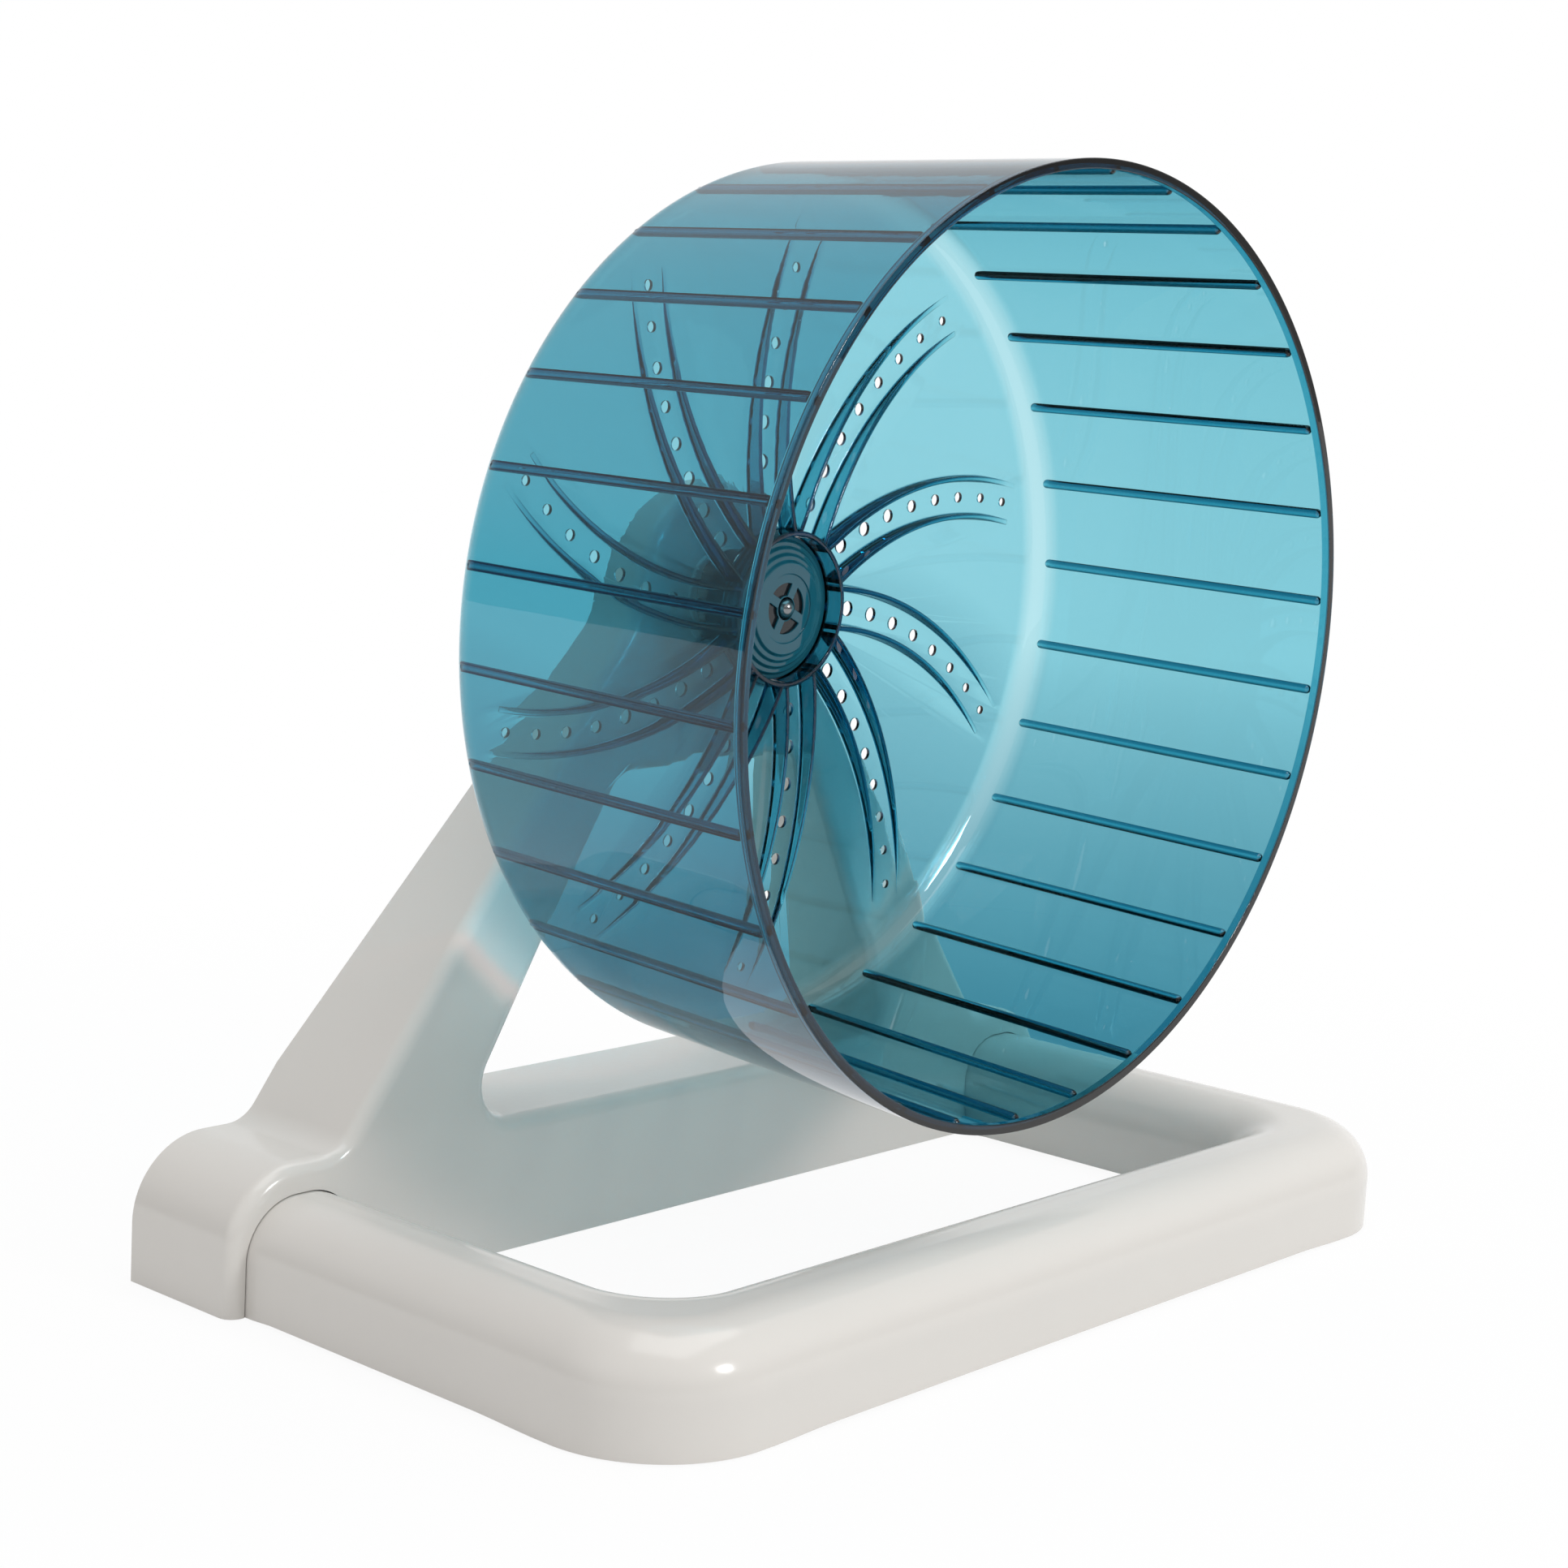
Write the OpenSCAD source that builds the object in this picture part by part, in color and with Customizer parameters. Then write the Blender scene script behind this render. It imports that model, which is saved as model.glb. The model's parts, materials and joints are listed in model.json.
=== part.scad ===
// Rodent exercise wheel: a clear drum that spins on two ball bearings, carried by an A-frame stand.
// Millimetres, +Z up. The origin is on the ground under the middle of the stand.
// The open side of the drum faces -Y, and X is across the stand.

/* [Stand] */
// Overall width across the two feet of the frame
stand_width = 374; // [360:1:400]
// Overall depth from the front of the base to the back of the frame
stand_depth = 207; // [195:1:230]
// Clear height that the rubber feet lift the plastic off the ground
ground_gap = 0.5; // [0.3:0.1:1.5]
// Wall of the frame shell
frame_wall = 3; // [2.2:0.1:3.6]
// Depth of the frame at its feet
frame_depth = 46; // [45:1:56]
// Lean of the frame's back above the feet, in degrees
frame_lean = 11.1; // [6:0.1:11.6]
// Height above the ground where the back starts to lean
lean_start = 58; // [50:1:75]
// Height of the bar across the bottom of the frame
bar_height = 42; // [40:1:50]
// Radius of the rounded top corner of each foot
foot_round = 24; // [16:1:28]
// Radius of the head that carries the axle
head_r = 37; // [32:1:42]
// Distance from the axle centre to the outer line of each leg
leg_offset = 28.1; // [24:0.1:31]
// Angle of a leg's outer line from the vertical, in degrees
leg_angle = 35.8; // [33:0.1:38]
// Half the width of the window at its foot
window_half = 101.5; // [90:0.5:108]
// Half the width of the window at its top
window_top_half = 41; // [34:0.5:44]
// Height above the ground of the window's top edge
window_top = 147; // [130:1:152]
// Radius of the window's corners
window_round = 12; // [6:1:16]
// Radius of the hollow between each foot and its leg
leg_fillet = 12; // [6:1:14]
// Height above the ground of the lower screw in each leg
low_screw_z = 70; // [66:1:80]
// Height above the ground of the upper screw in each leg
high_screw_z = 128; // [110:1:132]

/* [Base] */
// Distance from the outer side of a foot to the rail that passes through it
foot_side = 5.8; // [4:0.2:10]
// Width of a rail
rail_width = 38.6; // [36:0.2:44]
// Height of a rail's top above the ground
rail_top = 33; // [28:0.5:34]
// Rounding of a rail's top edges
rail_round = 17; // [10:0.5:17.5]
// Wall of the hollow rails
rail_wall = 2.6; // [2:0.1:3.5]
// Outer corner radius of the base, seen from above
corner_outer = 37.7; // [30:0.1:45]
// Inner corner radius of the base, seen from above
corner_inner = 16; // [10:1:24]
// Extra gap under the straight rails, between the corners
rail_lift = 1; // [0:0.1:1.5]
// Clearance between a rail and its tunnel through the frame
tunnel_clearance = 0.35; // [0.2:0.05:0.6]
// Diameter of a rubber foot
pad_d = 14; // [10:0.5:16]
// Thickness of a rubber foot
pad_h = 3; // [2:0.1:4]
// Distance of the front rubber feet from the outer edges of the base
pad_inset = 23.9; // [22:0.1:28]
// Distance of the rear rubber feet from the back of the frame
pad_back = 14; // [11:0.5:24]
// Distance of the screws that hold the base, behind the frame's front face
foot_screw_inset = 11; // [9:0.5:18]

/* [Drum] */
// Outer diameter of the drum at its open rim
drum_d = 280; // [270:1:290]
// Depth of the drum from its rim to the back of its back wall
drum_depth = 117.5; // [112:0.5:122]
// Thickness of the drum's round wall
drum_wall = 2.2; // [1.8:0.1:2.8]
// Thickness of the back wall
back_wall = 2.5; // [2:0.1:3]
// Taper of the drum towards the back, in degrees
drum_draft = 1.7; // [0.5:0.1:2.5]
// Outer rounding where the round wall meets the back wall
drum_corner = 7; // [5:0.5:9]
// Number of running ribs
rib_count = 30; // [24:1:36]
// Radius of a running rib
rib_r = 1.7; // [1.2:0.1:2]
// Height of a rib's crest above the wall
rib_height = 2.2; // [1.5:0.1:2.6]
// Turn of the drum at rest, in degrees
drum_turn = 0.5; // [0:0.5:12]

/* [Spokes] */
// Number of curved spokes on the back wall
spoke_count = 10; // [8:1:11]
// Radius of a spoke's curve
spoke_bend = 132; // [124:1:134]
// Distance from the axle where a spoke's curve starts
spoke_start = 18; // [14:1:20]
// Angle of the curve where the spoke ends, in degrees
spoke_sweep = 46; // [40:1:47]
// Distance between the middles of a spoke's two ridges
ridge_gap = 12.6; // [11:0.1:13.6]
// Thickness of a ridge
ridge_t = 1.7; // [1.2:0.1:2]
// Number of vent holes in a spoke
vent_count = 8; // [5:1:8]
// Distance between vent holes along the curve
vent_pitch = 12.15; // [10:0.05:12.5]
// Angle of the first vent hole on the curve, in degrees
vent_first = 7.1; // [6.5:0.1:9]
// Diameter of the vent hole next to the hub
vent_d_hub = 5; // [4:0.1:6]
// Diameter of the vent hole at the tip
vent_d_tip = 3; // [2:0.1:4]

/* [Hub and axle] */
// Height of the axle above the ground at the frame's front face
axle_height = 199.1; // [195:0.1:205]
// Droop of the axle towards the open side, in degrees
axle_tilt = 2; // [0:0.5:3]
// Outer radius of the hub ring inside the drum
hub_r = 24.6; // [24.2:0.1:26]
// Radius of the hub ring's bore
hub_bore_r = 22.9; // [22:0.1:23]
// Distance that the hub ring stands in front of the back wall
hub_rise = 6.8; // [6:0.1:8]
// Depth of the hub cover's rim below the ring
cover_sink = 6.4; // [6:0.1:7]
// Rise of the hub cover's middle above its rim
cover_rise = 4.1; // [3:0.1:4.5]
// Thickness of the hub cover
cover_t = 1.6; // [1.2:0.1:1.8]
// Radius of the hub cover's flat middle
cover_face_r = 14.3; // [13:0.1:16]
// Radius of the shallow ring inside the flat middle
cover_ring_r = 11.1; // [10:0.1:12]
// Radius of the four sunk pockets around the nose
cover_dish_r = 8.1; // [7:0.1:9]
// Clearance around the hub cover
cover_clearance = 0.3; // [0.1:0.05:0.5]
// Outer radius of the bearing housing behind the back wall
housing_r = 17; // [15:0.5:20]
// Diameter of the axle
axle_d = 8; // [7.5:0.1:8.5]
// Length of the axle's shoulder between the rear bearing and its flange
shoulder_l = 1.5; // [1:0.1:4]
// Diameter of the axle's domed nose
nose_d = 6.6; // [5:0.1:7]
// Clearance between the nose and the hub cover
nose_clearance = 0.4; // [0.2:0.1:0.8]
// Height of the nose's dome above the hub cover
nose_rise = 1.8; // [1:0.1:2.2]
// Clearance of the parts that are pressed or slid onto each other
press_clearance = 0.02; // [0.01:0.01:0.05]

/* [Bearings] */
// Outer diameter of a bearing
bearing_d = 22; // [21:0.5:24]
// Width of a bearing
bearing_w = 7; // [6.6:0.2:8]
// Number of balls in a bearing
ball_count = 7; // [5:1:7]
// Diameter of a ball
ball_d = 3.97; // [3.5:0.01:4]
// Gap between a ball and what surrounds it
ball_clearance = 0.1; // [0.08:0.01:0.15]
// Length of the sleeve between the two bearings
bearing_gap = 2; // [1.5:0.5:4]

/* [Screws] */
// Diameter of a screw's thread
screw_d = 3; // [2.5:0.1:3.2]
// Diameter of a screw's head
screw_head_d = 5.6; // [5:0.1:6]
// Height of a screw's head
screw_head_h = 1.8; // [1.2:0.1:2]
// Clearance around a screw and its head
screw_clearance = 0.2; // [0.1:0.05:0.3]
// Thickness of the frame's back cover
back_cover_t = 2.6; // [2.2:0.1:3]
// Gap around the frame's back cover
seam = 0.3; // [0.15:0.05:0.5]

/* [Hidden] */
$fn = 96;

// Overlap that lets a cut pass clean through a face
cut = 1;

// Stand, seen from the side
front_y = -stand_depth / 2;
back_y = stand_depth / 2;
face_y = back_y - frame_depth;
frame_top = axle_height + head_r;
frame_half = stand_width / 2;

// Base, seen from above
base_half = frame_half - foot_side;
rail_x = base_half - rail_width / 2;
corner_cell = rail_width + corner_inner;
straight_l = face_y - front_y - corner_cell;
tail_end = back_y - seam;

// Screws, the posts that they bite into, and the ribs under the base
pilot_d = screw_d + 2 * press_clearance;
cover_screw_l = 7;
base_screw_l = 14;
post_wall = 2.2;
foot_post_wall = 2.5;
base_rib_t = 1.6;
slot_w = 0.8;
slot_depth = 0.7;
head_sink = 0.2;

// Bosses in the frame's head, and the axle's flange, washer and nut
boss_rise = 0.8;
boss_r = 16;
inner_boss_r = 11;
inner_boss_h = 5;
flange_t = 1.6;
flange_r = 10;
washer_t = 1.6;
washer_r = 8.5;
nut_t = 6.2;
nut_across = 13;
thread_end = 1.2;

// Retaining clips
clip_t = 1;
clip_play = 0.02;
clip_width = 2.3;
clip_bite = 0.7;
clip_slot = 4;
clip_step = 0.6;

// Distances along the axle, measured back from the rim plane
wall_w = drum_depth - back_wall;
ring_w = wall_w - hub_rise;
cover_rim_w = ring_w + cover_sink;
cover_top_w = cover_rim_w - cover_rise;
floor_w = cover_rim_w + cover_t + cover_clearance;
clip_w = floor_w + clip_step;
front_bearing_w = clip_w + clip_t;
rear_bearing_w = front_bearing_w + bearing_w + bearing_gap;
shoulder_w = rear_bearing_w + bearing_w;
housing_end_w = shoulder_w + 0.5;
flange_w = shoulder_w + shoulder_l;
boss_w = flange_w + flange_t;
rim_reach = boss_w + boss_rise;
washer_w = rim_reach + inner_boss_h;
nut_w = washer_w + washer_t;
axle_end_w = nut_w + nut_t + thread_end;

// Bearing proportions
bearing_r = bearing_d / 2;
axle_r = axle_d / 2;
ball_r = ball_d / 2;
pitch_r = (bearing_r + axle_r) / 2;
race_t = (bearing_r - axle_r) * 0.29;
groove_r = ball_r + ball_clearance;
inner_land_r = axle_r + race_t;
outer_land_r = bearing_r - race_t;
shield_t = 0.3;
shield_bite = 0.35;
shield_r = outer_land_r + shield_bite;
shield_inset = 0.15;
cage_t = 2;
cage_back = 0.85;
cage_front = 1.2;

// Plastic colours
stand_white = "#d2cdc6";
drum_teal = [0.30, 0.66, 0.76, 0.6];

// Points of an arc about c, from angle a0 to a1 in n steps
function arc(c, r, a0, a1, n) =
    [for (i = [0:n]) let (a = a0 + (a1 - a0) * i / n) c + r * [cos(a), sin(a)]];

function unit(v) = v / norm(v);

// Angle of a direction
function heading(v) = atan2(v[1], v[0]);

// Smallest turn from angle a to angle b
function turn(a, b) = let (d = b - a) d > 180 ? d - 360 : d < -180 ? d + 360 : d;

// Corner b of the path a, b, c, rounded with radius r in n steps
function round_corner(a, b, c, r, n) =
    let (
        u = unit(a - b),
        v = unit(c - b),
        half = acos(u * v) / 2,
        o = b + unit(u + v) * r / sin(half),
        a0 = heading(b + u * r / tan(half) - o),
        a1 = heading(b + v * r / tan(half) - o)
    )
    arc(o, r, a0, a0 + turn(a0, a1), n);

// Outward step of each corner of a closed path that runs anticlockwise
function miters(path) =
    let (n = len(path))
    [for (i = [0:n - 1])
        let (
            u = unit(path[i] - path[(i + n - 1) % n]),
            v = unit(path[(i + 1) % n] - path[i]),
            nu = [u[1], -u[0]],
            nv = [v[1], -v[0]]
        )
        (nu + nv) / (1 + nu * nv)];

// The path grown by d
function grown(path, d) =
    let (m = miters(path))
    [for (i = [0:len(path) - 1]) path[i] + m[i] * d];

// Outer line of a leg: half the width of the frame at a height
function leg_x(z) = (leg_offset + (axle_height - z) * sin(leg_angle)) / cos(leg_angle);

// Inner line of a leg, which is the side of the window
function window_x(z) =
    window_half + (window_top_half - window_half) * (z - bar_height) / (window_top - bar_height);

// Middle of a leg at a height
function leg_mid(z) = (leg_x(z) + window_x(z)) / 2;

// Back of the frame at a height
function frame_back(z) = back_y - max(0, z - lean_start) * tan(frame_lean);

// Where the leg's outer line meets the head, and the soft blend there
axle_centre = [0, axle_height];
join_angle = leg_angle - acos(leg_offset / head_r);
join = axle_centre + head_r * [cos(join_angle), sin(join_angle)];
neck_round = 20;
neck_turn = 12;
foot_corner = [leg_x(bar_height), bar_height];

// The foot's rounding ends before the leg's fillet begins
foot_flat = 0.5;
fillet_reach = leg_fillet / tan(45 + leg_angle / 2);
foot_bend = min(foot_round, frame_half - foot_corner[0] - fillet_reach - foot_flat);

// Right half of the frame's outline, from the ground up to the top of the head
half_outline = concat(
    [[frame_half, ground_gap]],
    round_corner([frame_half, ground_gap], [frame_half, bar_height], [0, bar_height], foot_bend, 8),
    round_corner([frame_half, bar_height], foot_corner, join, leg_fillet, 5),
    round_corner(foot_corner, join, join + [-sin(join_angle), cos(join_angle)], neck_round, 3),
    arc(axle_centre, head_r, join_angle + neck_turn, 90, 10)
);
mirrored = [for (i = [len(half_outline) - 2:-1:0]) [-half_outline[i][0], half_outline[i][1]]];
outline = concat(half_outline, mirrored);

window_corners = [
    [window_half, bar_height],
    [window_top_half, window_top],
    [-window_top_half, window_top],
    [-window_half, bar_height]
];
window_path = [for (i = [0:3]) each
    round_corner(
        window_corners[(i + 3) % 4], window_corners[i], window_corners[(i + 1) % 4], window_round, 6)];

// Screw places on the frame's back, as [x, z]
back_screws = [
    for (side = [-1, 1]) each [
        [side * frame_half * 0.35, bar_height / 2],
        [side * leg_mid(low_screw_z), low_screw_z],
        [side * leg_mid(high_screw_z), high_screw_z]
    ],
    [0, axle_height + head_r * 0.62]
];
foot_screw_y = face_y + foot_screw_inset;
foot_screw_z = rail_top - 11;
foot_head_z = foot_screw_z + screw_head_h + 1;
pad_places = [
    for (side = [-1, 1]) each [
        [side * (base_half - pad_inset), front_y + pad_inset],
        [side * rail_x, back_y - pad_back]
    ]
];

// Stands an X-Z outline upright between two places in Y
module upright(y0, y1) {
    translate([0, y1, 0])
        rotate([90, 0, 0])
            linear_extrude(y1 - y0)
                children();
}

// Outline of a rail's section, standing on the ground, drawn in by a distance
module rail_section(inset) {
    w = rail_width - 2 * inset;
    h = rail_top - inset;
    r = rail_round - inset;
    translate([-w / 2, -cut])
        square([w, h - r + cut]);
    translate([-w / 2 + r, 0])
        square([w - 2 * r, h]);
    for (side = [-1, 1])
        translate([side * (w / 2 - r), h - r])
            circle(r);
}

// One side of a rail's section, from the outer face inwards to a depth
module edge_section(depth, inset) {
    h = rail_top - inset;
    r = rail_round - inset;
    translate([-depth, -cut])
        square([depth - inset, h - r + cut]);
    translate([-depth, 0])
        square([depth - inset - r, h]);
    translate([-inset - r, h - r])
        circle(r);
}

// A front corner of the base, with its outer point at the origin and the base towards -X and +Y
module corner_block(inset) {
    h = rail_top - inset;
    r = rail_round - inset;
    difference() {
        union() {
            translate([-corner_outer, corner_outer, 0])
                rotate([0, 0, -90])
                    rotate_extrude(angle = 90)
                        intersection() {
                            translate([corner_outer, 0])
                                edge_section(corner_outer, inset);
                            translate([0, -cut])
                                square([corner_outer, rail_top + cut]);
                        }
            translate([0, corner_cell, 0])
                rotate([90, 0, 0])
                    linear_extrude(corner_cell - corner_outer)
                        intersection() {
                            edge_section(corner_cell, inset);
                            translate([-corner_cell, -cut])
                                square([corner_cell, rail_top + cut]);
                        }
            translate([-corner_cell, 0, 0])
                rotate([90, 0, 90])
                    linear_extrude(corner_cell - corner_outer)
                        mirror([1, 0])
                            intersection() {
                                edge_section(corner_outer + 0.01, inset);
                                translate([-corner_outer - 0.01, -cut])
                                    square([corner_outer + 0.01, rail_top + cut]);
                            }
        }
        translate([-corner_cell, corner_cell, 0])
            rotate_extrude()
                difference() {
                    translate([0, -2 * cut])
                        square([corner_inner + inset + r, h + 4 * cut]);
                    translate([corner_inner + inset + r, h - r])
                        circle(r);
                    translate([corner_inner + inset, -3 * cut])
                        square([r + cut, h - r + 3 * cut]);
                }
    }
}

// The whole rounded U of the base, drawn in by a distance
module base_loop(inset) {
    for (side = [-1, 1]) {
        translate([side * rail_x, tail_end - inset, 0])
            rotate([90, 0, 0])
                linear_extrude(tail_end - inset - front_y - corner_cell)
                    rail_section(inset);
        translate([side * base_half, front_y, 0])
            mirror([side < 0 ? 1 : 0, 0, 0])
                corner_block(inset);
    }
    translate([-base_half + corner_cell, front_y + rail_width / 2, 0])
        rotate([90, 0, 90])
            linear_extrude(2 * (base_half - corner_cell))
                rail_section(inset);
}

// Where a rail passes through the frame
module tunnel_section(extra) {
    for (side = [-1, 1])
        translate([side * rail_x, 0])
            rail_section(-tunnel_clearance - extra);
}

// Places its children on the axle line, with z measured back from the rim plane
module on_axle() {
    translate([0, face_y, axle_height])
        rotate([axle_tilt - 90, 0, 0])
            translate([0, 0, -rim_reach])
                children();
}

// A round piece on the axle line, between two distances from the rim plane
module ring_piece(r_out, r_in, w0, w1) {
    translate([0, 0, w0])
        difference() {
            cylinder(r = r_out, h = w1 - w0);
            translate([0, 0, -cut])
                cylinder(r = r_in, h = w1 - w0 + 2 * cut);
        }
}

// A pan-head screw whose head sits at the origin and whose thread runs towards -Z
module screw(length) {
    difference() {
        cylinder(d = screw_head_d, h = screw_head_h);
        for (a = [0, 90])
            rotate([0, 0, a])
                translate([-screw_head_d * 0.3, -slot_w / 2, screw_head_h - slot_depth])
                    cube([screw_head_d * 0.6, slot_w, 1]);
    }
    translate([0, 0, -length])
        cylinder(d = screw_d, h = length + screw_head_h - slot_depth);
}

// Floor of the recess under each screw head in the back cover
function screw_seat(z) = frame_back(z + screw_head_d / 2) - screw_head_h - head_sink;

// The A shape of the frame, drawn in by a distance from its edges, its window and its tunnels
module frame_outline(inset) {
    difference() {
        polygon(grown(outline, -inset));
        polygon(grown(window_path, inset));
        tunnel_section(inset);
    }
}

// Space behind the frame's sloping back
module behind_frame(shift) {
    rotate([90, 0, 90])
        translate([0, 0, -frame_half - cut])
            linear_extrude(2 * frame_half + 2 * cut)
                polygon([
                    [back_y - shift, -cut],
                    [back_y - shift, lean_start],
                    [frame_back(frame_top + cut) - shift, frame_top + cut],
                    [back_y + 3 * cut, frame_top + cut],
                    [back_y + 3 * cut, -cut]
                ]);
}

// Posts behind the frame's front wall that the cover's screws bite into, short of the cover
module screw_posts() {
    for (p = back_screws)
        let (top = screw_seat(p[1]) - 1)
            translate([p[0], top, p[1]])
                rotate([90, 0, 0])
                    cylinder(d = screw_d + 2 * post_wall, h = top - face_y - frame_wall / 2);
}

module rear_frame() {
    post_z = rail_top + tunnel_clearance + frame_wall / 2;
    post_l = bar_height - frame_wall / 2 - post_z;
    color(stand_white)
        difference() {
            union() {
                difference() {
                    upright(face_y, back_y + cut)
                        frame_outline(0);
                    upright(face_y + frame_wall, back_y + 2 * cut)
                        frame_outline(frame_wall);
                }
                intersection() {
                    union() {
                        screw_posts();
                        for (side = [-1, 1])
                            translate([side * rail_x, foot_screw_y, post_z])
                                cylinder(d = screw_d + 2 * foot_post_wall, h = post_l);
                    }
                    translate([-frame_half, face_y + cut, 0])
                        cube([2 * frame_half, frame_depth, frame_top]);
                }
                on_axle()
                    translate([0, 0, boss_w])
                        cylinder(r = boss_r, h = boss_rise + frame_wall / 2);
                on_axle()
                    translate([0, 0, boss_w + boss_rise])
                        cylinder(r = inner_boss_r, h = inner_boss_h);
            }
            behind_frame(0);
            upright(face_y - cut, back_y + cut)
                tunnel_section(0);
            on_axle()
                translate([0, 0, boss_w - cut])
                    cylinder(r = axle_r + press_clearance, h = washer_w - boss_w + 2 * cut);
            for (p = back_screws)
                translate([p[0], back_y + cut, p[1]])
                    rotate([90, 0, 0])
                        cylinder(d = pilot_d, h = back_y + cut - face_y - frame_wall / 2);
            for (side = [-1, 1])
                translate([side * rail_x, foot_screw_y, foot_head_z])
                    cylinder(d = pilot_d, h = base_screw_l + cut / 2);
        }
}

module frame_back_cover() {
    color(stand_white)
        difference() {
            upright(face_y + frame_wall + seam, back_y + cut)
                frame_outline(frame_wall + seam);
            behind_frame(0);
            difference() {
                translate([-frame_half, face_y, -cut])
                    cube([2 * frame_half, frame_depth + 2 * cut, frame_top + 2 * cut]);
                behind_frame(back_cover_t);
            }
            for (p = back_screws) {
                translate([p[0], back_y + cut, p[1]])
                    rotate([90, 0, 0])
                        cylinder(d = screw_d + 2 * screw_clearance, h = frame_depth);
                translate([p[0], screw_seat(p[1]), p[1]])
                    rotate([-90, 0, 0])
                        cylinder(d = screw_head_d + 2 * screw_clearance, h = frame_depth);
            }
        }
}

module cover_screws() {
    color("silver")
        for (p = back_screws)
            translate([p[0], screw_seat(p[1]), p[1]])
                rotate([-90, 0, 0])
                    screw(cover_screw_l);
}

// Bosses and cross ribs inside the hollow rails, longer than needed
module base_stiffeners() {
    for (p = pad_places)
        translate([p[0], p[1], 0])
            cylinder(d = pad_d + 2 * post_wall, h = rail_top);
    for (side = [-1, 1])
        translate([side * rail_x, foot_screw_y, foot_screw_z])
            cylinder(d = screw_head_d + 2 * foot_post_wall, h = rail_top);
    for (side = [-1, 1], t = [0.25, 0.5, 0.75])
        translate([side * rail_x, front_y + corner_cell + t * straight_l, rail_top / 2])
            cube([rail_width, base_rib_t, rail_top], center = true);
    for (t = [-0.75:0.5:0.75])
        translate([t * (base_half - corner_cell), front_y + rail_width / 2, rail_top / 2])
            cube([base_rib_t, rail_width, rail_top], center = true);
}

module front_base() {
    color(stand_white)
        difference() {
            union() {
                difference() {
                    base_loop(0);
                    translate([0, 0, -0.01])
                        base_loop(rail_wall);
                }
                intersection() {
                    base_stiffeners();
                    base_loop(rail_wall / 2);
                }
            }
            translate([-base_half - cut, front_y - cut, -2 * cut])
                cube([2 * base_half + 2 * cut, stand_depth + 2 * cut, ground_gap + 2 * cut]);
            for (side = [-1, 1])
                translate([side * rail_x - rail_width / 2 - cut, front_y + corner_cell, -cut])
                    cube([rail_width + 2 * cut, straight_l, ground_gap + rail_lift + cut]);
            translate([-base_half + corner_cell, front_y - cut, -cut])
                cube([2 * (base_half - corner_cell), rail_width + 2 * cut, ground_gap + rail_lift + cut]);
            for (p = pad_places)
                translate([p[0], p[1], -cut])
                    cylinder(d = pad_d + 2 * press_clearance, h = pad_h + cut);
            for (side = [-1, 1])
                translate([side * rail_x, foot_screw_y, 0]) {
                    cylinder(d = screw_d + 2 * screw_clearance, h = rail_top + cut);
                    cylinder(d = screw_head_d + 2 * screw_clearance, h = foot_head_z);
                }
        }
}

module base_screws() {
    color("silver")
        for (side = [-1, 1])
            translate([side * rail_x, foot_screw_y, foot_head_z])
                mirror([0, 0, 1])
                    screw(base_screw_l);
}

module rubber_feet() {
    color("#5c5f62")
        for (p = pad_places)
            translate([p[0], p[1], 0])
                cylinder(d = pad_d, h = pad_h - press_clearance);
}

// Arc from angle a0 to a1 about a centre, as points of a turned profile
function round_edge(r, w, radius, a0, a1) = arc([r, w], radius, a0, a1, 8);

drum_r = drum_d / 2;
drum_slope = tan(drum_draft);
inner_corner = drum_corner - 3;
ring_chamfer = 0.4;
bearing_stop = 1.2;
housing_fillet = 2;
seat_r = bearing_r + press_clearance;

// Outer radius of the drum at a distance from the rim plane
function drum_outer(w) = drum_r - w * drum_slope;
function drum_inner(w) = drum_outer(w) - drum_wall;

drum_profile = concat(
    round_edge(drum_r - drum_wall / 2, drum_wall / 2, drum_wall / 2, 180, 360),
    round_edge(drum_outer(drum_depth) - drum_corner, drum_depth - drum_corner, drum_corner, 0, 90),
    [
        [housing_r + housing_fillet, drum_depth],
        [housing_r, drum_depth + housing_fillet],
        [housing_r - 1, housing_end_w],
        [seat_r, housing_end_w],
        [seat_r, rear_bearing_w - press_clearance],
        [bearing_r - bearing_stop, rear_bearing_w - press_clearance],
        [bearing_r - bearing_stop, front_bearing_w + bearing_w + press_clearance],
        [seat_r, front_bearing_w + bearing_w + press_clearance],
        [seat_r, front_bearing_w],
        [bearing_r + clip_bite + 0.1, front_bearing_w],
        [bearing_r + clip_bite + 0.1, clip_w - clip_play],
        [seat_r, clip_w - clip_play],
        [seat_r, floor_w],
        [hub_bore_r, floor_w],
        [hub_bore_r, ring_w + ring_chamfer],
        [hub_bore_r + ring_chamfer, ring_w],
        [hub_r - ring_chamfer, ring_w],
        [hub_r, ring_w + ring_chamfer],
        [hub_r, wall_w]
    ],
    round_edge(drum_inner(wall_w) - inner_corner, wall_w - inner_corner, inner_corner, 90, 0)
);

// Children are copied to every spoke, with the spoke's curve centred on the origin
module at_spokes() {
    for (i = [0:spoke_count - 1])
        rotate([0, 0, drum_turn + (i + 0.5) * 360 / spoke_count])
            translate([spoke_bend, -spoke_start, 0])
                children();
}

module ridge(r) {
    translate([0, 0, ring_w - cut])
        rotate([0, 0, 180])
            rotate_extrude(angle = spoke_sweep)
                translate([r - ridge_t / 2, 0])
                    square([ridge_t, hub_rise + cut + 1]);
}

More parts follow.
